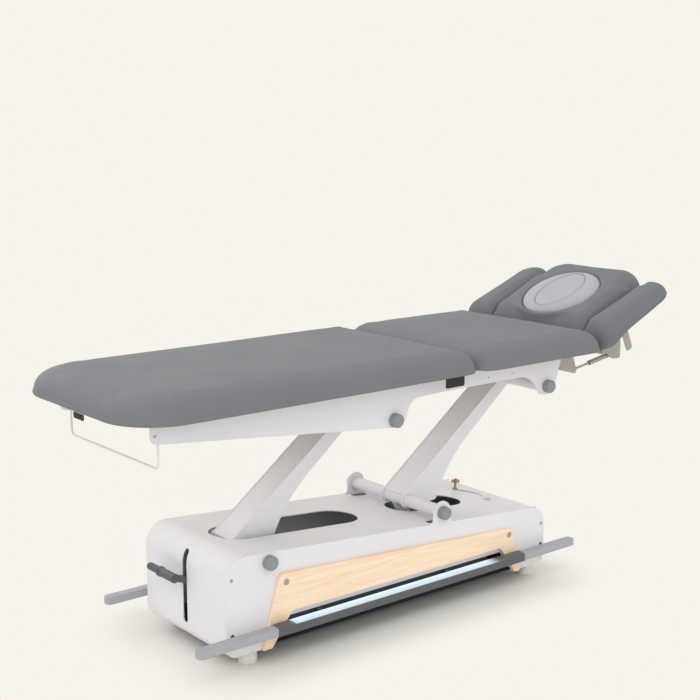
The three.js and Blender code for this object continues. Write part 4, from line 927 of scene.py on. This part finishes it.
def headCushion(look):
    rings = [
        (look["hole"], look["cutFrom"]), (look["hole"], look["seatHeight"]),
        (look["seat"], look["seatHeight"]), (look["seat"] + look["seatSlant"], look["cutTo"]),
    ]
    cutter = turnedPiece("face_hole", rings, look["sides"])
    settle(cutter, (look["plugAlong"] / 1000, 0, 0))
    hole = [look[key] / 1000 for key in ("plugAlong", "seat", "seatReach")]
    headPiece("head_cushion", look["corners"], look, hole, cutter)


def armPad(node, look, side):
    corners = [(x, side * y, radius) for x, y, radius in look["corners"]]
    if side < 0:
        corners.reverse()
    headPiece(node, corners, look)


plug = {  # (half length, half width, height): stem, rim, sloping ring, groove, oval middle
    "rings": (
        (94, 94, 36.3), (95, 95, 38), (95, 95, 66.6), (126, 126, 66.6), (131, 131, 69.5),
        (132, 132, 74), (131.5, 131.5, 79.5), (128.5, 128.5, 84.5), (122, 122, 88.5),
        (115, 113, 91), (111, 98, 93), (108.6, 75.5, 94), (107.4, 72.4, 93.2),
        (106.2, 71, 88.4), (105, 70, 88.4), (103.6, 68.8, 92.2), (101, 66, 93.4),
        (92, 59, 94), (60, 38, 93.7), (20, 13, 93.5),
    ),
    "sides": 72, "bendAngle": 50, "fill": 0.9,
}


def facePlug(look):
    piece = turnedPiece("face_plug_padded", look["rings"], look["sides"])
    smooth(piece, look["bendAngle"])
    applied(piece, "SUBSURF", levels=1, render_levels=1)
    settle(piece, (headPadding["plugAlong"] / 1000, 0, 0))
    standIn(layOnSlope(piece), "face_plug", finishes["plugVinyl"])


headCushion(headPadding)
armPad("arm_pad_front", armPadding, -1)
armPad("arm_pad_back", armPadding, 1)
facePlug(plug)
print("stage: head section")


# caps, feet and wheels: one of each, then copies

cap = {  # rings are (radius, height) in mm
    "rings": (
        (20, 0), (20, 15), (19.4, 18.5), (17.5, 20.8), (14.5, 21.6), (14, 21.2), (4, 21.2),
    ),
    "bevel": 0.6, "finishes": ("capPlastic",),
}
foot = {
    "rings": ((24, 0), (26, 2), (26, 30), (25, 33), (20, 33), (20, 38)), "height": 38,
    "bevel": 0.6, "finishes": ("footPlastic",),
}
wheel = {  # the second finish is the hub's, out to hub
    "rings": (
        (4.6, -18), (5, -17.5), (5, -13), (11, -13), (12, -11), (20, -9), (22, -12), (24, -13),
        (27, -12.4), (29.2, -10), (30, -6.5), (30, 6.5), (29.2, 10), (27, 12.4), (24, 13),
        (22, 12), (20, 9), (12, 11), (11, 13), (5, 13), (5, 17.5), (4.6, 18),
    ),
    "hub": 21.5, "bevel": 0.5, "finishes": ("tyreRubber", "footPlastic"),
}
rimAngle = 40


def modelOf(look):
    model = roundEdges(turnedPiece("model", look["rings"]), look["bevel"] / 1000, rimAngle)
    for name in look["finishes"]:
        model.data.materials.append(finishes[name])
    for face in model.data.polygons:
        face.material_index = int(face.center.xy.length < look.get("hub", 0) / 1000)
    return model


def capOver(twin, low, high):  # its flat side against the arm
    outwards = 1 if low.y > 0 else -1
    middle = (low + high) / 2
    inner = low.y if outwards > 0 else high.y
    settle(twin, (middle.x, inner, middle.z), (-quarterTurn * outwards, 0, 0))


def footOver(twin, low, high):
    twin.scale.z = (high.z - low.z) / (foot["height"] / 1000)
    middle = (low + high) / 2
    settle(twin, (middle.x, middle.y, low.z))


def wheelOver(twin, low, high):
    settle(twin, (low + high) / 2, (quarterTurn, 0, 0))


def copied(look, start, mark, laid):  # a copy for each node with such a name
    model = modelOf(look)
    for node in [name for name in nodes if name.startswith(start) and mark in name]:
        twin = copyOf(model, node + "_turned")
        laid(twin, *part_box(node))
        standIn(twin, node, None)
    bpy.data.objects.remove(model)


copied(cap, "", "_cap_", capOver)
copied(foot, "foot_", "_end_", footOver)
copied(wheel, "castor_wheel_", "", wheelOver)
print("stage: caps, feet and wheels")


# control bars: a dark middle between two slightly thinner sleeves

bar = {  # mm and shares; a joint is (X at the outer edge, X at the inner edge)
    "endRound": 14, "endSides": 5, "sleeveInset": 1.3, "middleRound": 2.4, "sleeveRound": 3.2,
    "bendAngle": 30, "footJoint": (-550, -547), "headJoint": (393, 400), "overlap": 1.5,
    "stems": (0.3, 0.64), "stemRadius": 6, "stemInner": 130, "stemOuter": 224,
}


def boxPiece(name, low, high):
    pick()
    bpy.ops.mesh.primitive_cube_add(size=1)
    piece = named(name)
    piece.scale = high - low
    return settle(piece, (low + high) / 2)


def cutAcross(piece, joint, keepHead, low, high):
    outer, inner = sorted((low.y, high.y), key=abs, reverse=True)
    start = place(joint[0], outer * 1000, 0)
    along = place(joint[1], inner * 1000, 0) - start
    across = Vector((along.y, -along.x, 0)).normalized()
    if across.x < 0:
        across = -across
    edit(piece)
    bpy.ops.mesh.select_all(action="SELECT")
    bpy.ops.mesh.bisect(
        plane_co=start, plane_no=across, use_fill=True,
        clear_inner=keepHead, clear_outer=not keepHead,
    )
    bpy.ops.object.mode_set(mode="OBJECT")


def barPart(name, low, high, inset, cuts, rounding, material):
    shrink = Vector((0, inset / 1000, inset / 1000))
    piece = boxPiece(name, low + shrink, high - shrink)
    piece.data.materials.append(finishes[material])
    upright = 0.005
    bevelled(
        piece, "EDGE", lambda a, b: abs(a.z - b.z) > upright, bar["endRound"] / 1000,
        bar["endSides"],
    )
    for joint, shift, keepHead in cuts:
        cutAcross(piece, [x + shift for x in joint], keepHead, low, high)
    return roundEdges(piece, rounding / 1000, bar["bendAngle"], 3)


def barStem(name, low, high, share, look):
    outer, inner = look["stemOuter"] / 1000, look["stemInner"] / 1000
    side = 1 if low.y > 0 else -1
    pick()
    bpy.ops.mesh.primitive_cylinder_add(
        radius=look["stemRadius"] / 1000, depth=outer - inner, vertices=24
    )
    x = low.x + (high.x - low.x) * share
    stem = named(name)
    settle(stem, (x, side * (outer + inner) / 2, (low.z + high.z) / 2), (quarterTurn, 0, 0))
    stem.data.materials.append(finishes["darkSheet"])
    return smooth(stem, rimAngle)


def controlBar(node, look):
    low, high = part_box(node)
    side = 1 if low.y > 0 else -1
    low.y, high.y = sorted(paintedStripLight[face] * side for face in ("Inner", "Outer"))
    footEnd, headEnd, over = look["footJoint"], look["headJoint"], look["overlap"]
    inset, rounding = look["sleeveInset"], look["sleeveRound"]
    middleCuts = [(footEnd, 0, True), (headEnd, 0, False)]
    parts = [
        barPart("middle", low, high, 0, middleCuts, look["middleRound"], "barMiddle"),
        barPart("foot_sleeve", low, high, inset, [(footEnd, over, False)], rounding, "barEnd"),
        barPart("head_sleeve", low, high, inset, [(headEnd, -over, True)], rounding, "barEnd"),
    ]
    parts += [barStem("stem", low, high, share, look) for share in look["stems"]]
    standIn(joined(node + "_assembled", parts), node, None)


controlBar("control_bar_front", bar)
controlBar("control_bar_back", bar)
print("stage: control bars")


# pedal grip, screws, tags and the paper holder's wire

pedal = {  # mm; a rib is (rise, share of its step)
    "axis": (-719.5, 218.2), "from": 64, "to": 126.4, "radius": 10, "ribs": 12, "margin": 1,
    "rib": ((0.1, 0), (0.7, 0.3), (0.7, 0.6), (0.1, 0.9)), "tipRise": 0.2, "skin": 0.1,
    "tipStep": 15, "sides": 32, "bendAngle": 50,
}


def pedalGrip(look):
    start, radius, margin = look["from"], look["radius"], look["margin"]
    tip = look["to"] - radius
    step = (tip - start - 2 * margin) / look["ribs"]
    rings = [(radius - margin, start)]
    for index in range(look["ribs"]):
        at = start + margin + index * step
        rings += [(radius + rise, at + step * share) for rise, share in look["rib"]]
    bulge = radius + look["tipRise"]
    for turn in range(0, 90, look["tipStep"]):
        angle = math.radians(turn)
        rings.append((bulge * math.cos(angle) + look["skin"], tip + bulge * math.sin(angle)))
    grip = smooth(turnedPiece("pedal_grip", rings, look["sides"]), look["bendAngle"])
    x, z = look["axis"]
    settle(grip, place(x, 0, z), (-quarterTurn, 0, 0))
    finish(grip, "castor_lever", slots["castor_lever"], finishes["castorGrip"])


pedalGrip(pedal)

screw = {  # rings are (share of the radius, height in mm)
    "head": ((1, -0.6), (1, 0.5), (0.9, 1.2), (0.62, 1.7)), "socket": ((0.4, 0.4), (0.42, 3)),
    "sides": 24, "bendAngle": 30,
}
screws = {  # body, slot, finish, radius in mm, places on the near side; each has a twin
    "plate": (
        "base", "steel", "brightSteel", 5.2, ((-664.4, -205, 254.9), (517.9, -205, 169.1)),
    ),
    "plate_low": (
        "base", "dark_steel", "darkSheet", 5.2, ((-663.4, -205, 100), (518.2, -205, 100.9)),
    ),
    "wood": (
        "base", "greige_metal", "greigeMetal", 9.5,
        ((-495.3, -216.8, 215.7), (361.4, -216.8, 166.7)),
    ),
    "rail": ("top_frame", "steel", "brightSteel", 4.0, ((-901.8, -241.0, 688.6),)),
    "rail_small": (
        "top_frame", "greige_metal", "greigeMetal", 2.2,
        ((241, -233.0, 684.5), (342, -233.0, 683.9)),
    ),
    "bracket": ("top_frame", "steel", "brightSteel", 9.0, ((621.8, -226.7, 657.9),)),
    "strut": ("head_section", "steel", "brightSteel", 9.0, ((833.6, -201.0, 678.3),)),
}


def screwHead(name, radius, look):  # a low dome with a hexagon socket
    dome = [(radius * share, height) for share, height in look["head"]]
    socket = [(radius * share, height) for share, height in look["socket"]]
    head = turnedPiece(name, dome, look["sides"])
    cutBy(head, turnedPiece(name + "_socket", socket, 6))
    return smooth(head, look["bendAngle"])


for kind, (body, slotName, material, radius, spots) in screws.items():
    model = screwHead("screw_" + kind, radius, screw)
    heads = []
    for side in (1, -1):
        for x, y, z in spots:
            head = copyOf(model, "screw_" + kind)
            heads.append(settle(head, place(x, y * side, z), (quarterTurn * side, 0, 0)))
    bpy.data.objects.remove(model)
    finish(joined("screws_" + kind, heads), body, slotName, finishes[material])

lug = {  # the strut's lug plate, mm, as (X, Z) corners from the drawing
    "corners": ((801, 712), (801, 694), (843, 663), (884, 661), (884, 722)), "inner": -198,
    "outer": -201, "round": 8, "roundBelow": 700, "cornerSides": 5, "bevel": 0.6,
}


def lugPlate(side, look):
    pick()
    bpy.ops.mesh.primitive_circle_add(
        vertices=len(look["corners"]), radius=1, fill_type="NGON"
    )
    plate = named("lug_plate")
    for vert, (x, z) in zip(plate.data.vertices, look["corners"]):
        vert.co = place(x, look["inner"] * side, z)
    bevelled(
        plate, "VERT", lambda co: co.z < look["roundBelow"] / 1000, look["round"] / 1000,
        look["cornerSides"],
    )
    thickened(plate, (0, (look["outer"] - look["inner"]) / 1000 * side, 0))
    return roundEdges(plate, look["bevel"] / 1000)


plates = [lugPlate(side, lug) for side in (1, -1)]
finish(joined("lug_plates", plates), "head_section", "greige_metal", finishes["greigeMetal"])

slitShade = {  # painted shade: black boxes for the shade inside the slits in the cover's edges, mm
    "size": (7, 1.2, 1.6), "spots": ((-618.2, 200, 310.8), (492.3, 200, 225.6)), "bevel": 0.3,
}
slits = []
for x, y, z in slitShade["spots"]:
    for side in (1, -1):
        half = Vector(slitShade["size"]) / 2000
        middle = place(x, y * side, z)
        slit = boxPiece("relief_slit", middle - half, middle + half)
        slits.append(roundEdges(slit, slitShade["bevel"] / 1000))
# the black finish is the slits' painted shade
finish(joined("relief_slits", slits), "base", "dark_steel", finishes["blackPlastic"])

tags = {  # mm: centre X and Y, half width, top and bottom Z, and degrees about Z
    "foot_tag": {"at": (-1004.6, -51), "half": 27, "top": 727, "low": 711, "turn": 90},
    "near_tag": {"at": (23, -318.5), "half": 36, "top": 727, "low": 698, "turn": 0},
}
cloth = {  # metres
    "half": 0.00075, "near": 0.001, "cornerRound": 0.006, "cornerSides": 4, "bevel": 0.0003,
}


def makeTag(name, look):
    half, top, low = look["half"] / 1000, look["top"] / 1000, look["low"] / 1000
    thick = cloth["half"]
    piece = boxPiece(name, Vector((-half, -thick, low)), Vector((half, thick, top)))
    bevelled(
        piece, "EDGE", lambda a, b: abs(a.y - b.y) > thick and a.z < low + cloth["near"],
        cloth["cornerRound"], cloth["cornerSides"],
    )
    roundEdges(piece, cloth["bevel"])
    settle(piece, place(*look["at"], 0), (0, 0, math.radians(look["turn"])))
    finish(piece, "top_frame", "black_plastic", finishes["tagCloth"])


for name, look in tags.items():
    makeTag(name, look)

holder = {  # mm; the wire hangs as a U under two plates
    "x": -886.0, "across": 227, "top": 722, "low": 600, "bend": 14, "bendStep": 15,
    "radius": 3, "sides": 6, "bendAngle": 50, "plate": ((-903, -8, 719), (-869, 8, 722)),
    "plateRound": 0.8,
}


def paperWire(look):
    across, low, bend = look["across"], look["low"], look["bend"]
    half = [(across, look["top"])]
    for turn in range(0, 91, look["bendStep"]):
        angle = math.radians(turn)
        half.append((across - bend + bend * math.cos(angle), low + bend - bend * math.sin(angle)))
    route = half + [(-y, z) for y, z in reversed(half)]
    points = [place(look["x"], y, z) for y, z in route]
    pick(tube("paper_wire", points, look["radius"] / 1000, look["sides"]))
    bpy.ops.object.convert(target="MESH")
    return smooth(named("paper_wire"), look["bendAngle"])


def holderPlate(side, look):
    low, high = (place(x, y + look["across"] * side, z) for x, y, z in look["plate"])
    return roundEdges(boxPiece("holder_plate", low, high), look["plateRound"] / 1000)


whole = joined(
    "paper_holder_finished", [paperWire(holder), holderPlate(1, holder), holderPlate(-1, holder)]
)
standIn(whole, "paper_holder", finishes["whitePaint"])
print("stage: trim")


# light, floor and background

studio = {
    "background": tint(247, 243, 235), "world": 0.84,
    "suns": (((-0.38, -0.58, 0.60), 0.8, 60), ((-0.1, 0.85, 0.5), 0.88, 60)),
    "floorTone": (0.86, 0.83, 0.77, 1), "bounce": (0.9, 0.9, 0.9, 1),
    "baseMiddle": (-0.087, 0, 0), "baseHalf": (0.56, 0.16, 0), "shadowNear": 0.07,
    "shadowFar": 0.27, "floorSize": 24, "picture": 700,
}


def seenShare(tree):  # 1 where a ray shows the thing itself, 0 where it only lights others
    path = tree.nodes.new("ShaderNodeLightPath").outputs
    seen = maths(tree, "MAXIMUM", path["Is Camera Ray"], path["Is Glossy Ray"])
    return maths(tree, "MAXIMUM", seen, path["Is Transmission Ray"])


def makeWorld(look):
    world = bpy.data.worlds.new("studio")
    world.use_nodes = True
    scene.world = world
    tree = world.node_tree
    tree.nodes.clear()
    fill = addNode(tree, "ShaderNodeBackground", {0: (1, 1, 1, 1), 1: look["world"]})
    back = addNode(tree, "ShaderNodeBackground", {0: look["background"], 1: 1.0})
    inputs = {0: seenShare(tree), 1: fill.outputs[0], 2: back.outputs[0]}
    mixed = addNode(tree, "ShaderNodeMixShader", inputs)
    addNode(tree, "ShaderNodeOutputWorld", {0: mixed.outputs[0]})


def makeSun(direction, power, size):  # direction points to the sun, size is in degrees
    pick()
    bpy.ops.object.light_add(type="SUN")
    sun = bpy.context.object
    sun.data.energy = power
    sun.data.angle = math.radians(size)
    sun.rotation_euler = Vector(direction).to_track_quat("Z", "Y").to_euler()
    return sun


def makeFloor(look):  # takes shadows near the base, and is plain background further out
    pick()
    bpy.ops.mesh.primitive_plane_add(size=look["floorSize"])
    floor = named("floor")
    material = bpy.data.materials.new("floor")
    material.use_nodes = True
    tree = material.node_tree
    tree.nodes.clear()
    offset = vectorMaths(tree, "SUBTRACT", objectPlace(tree), look["baseMiddle"])[0]
    offset = vectorMaths(tree, "ABSOLUTE", offset)[0]
    offset = vectorMaths(tree, "SUBTRACT", offset, look["baseHalf"])[0]
    offset = vectorMaths(tree, "MAXIMUM", offset)[0]
    away = vectorMaths(tree, "LENGTH", offset)["Value"]
    backdrop = mixColour(tree, seenShare(tree), look["bounce"], look["background"])
    matte = addNode(tree, "ShaderNodeBsdfDiffuse", {0: look["floorTone"]})
    plain = addNode(tree, "ShaderNodeEmission", {0: backdrop, 1: 1.0})
    share = spread(tree, away, look["shadowNear"], look["shadowFar"])
    inputs = {0: share, 1: matte.outputs[0], 2: plain.outputs[0]}
    mixed = addNode(tree, "ShaderNodeMixShader", inputs)
    addNode(tree, "ShaderNodeOutputMaterial", {0: mixed.outputs[0]})
    floor.data.materials.append(material)
    return floor


makeWorld(studio)
makeFloor(studio)
[makeSun(*sun) for sun in studio["suns"]]
scene.view_settings.view_transform = "Standard"
scene.render.resolution_x = scene.render.resolution_y = studio["picture"]
print("stage: studio")
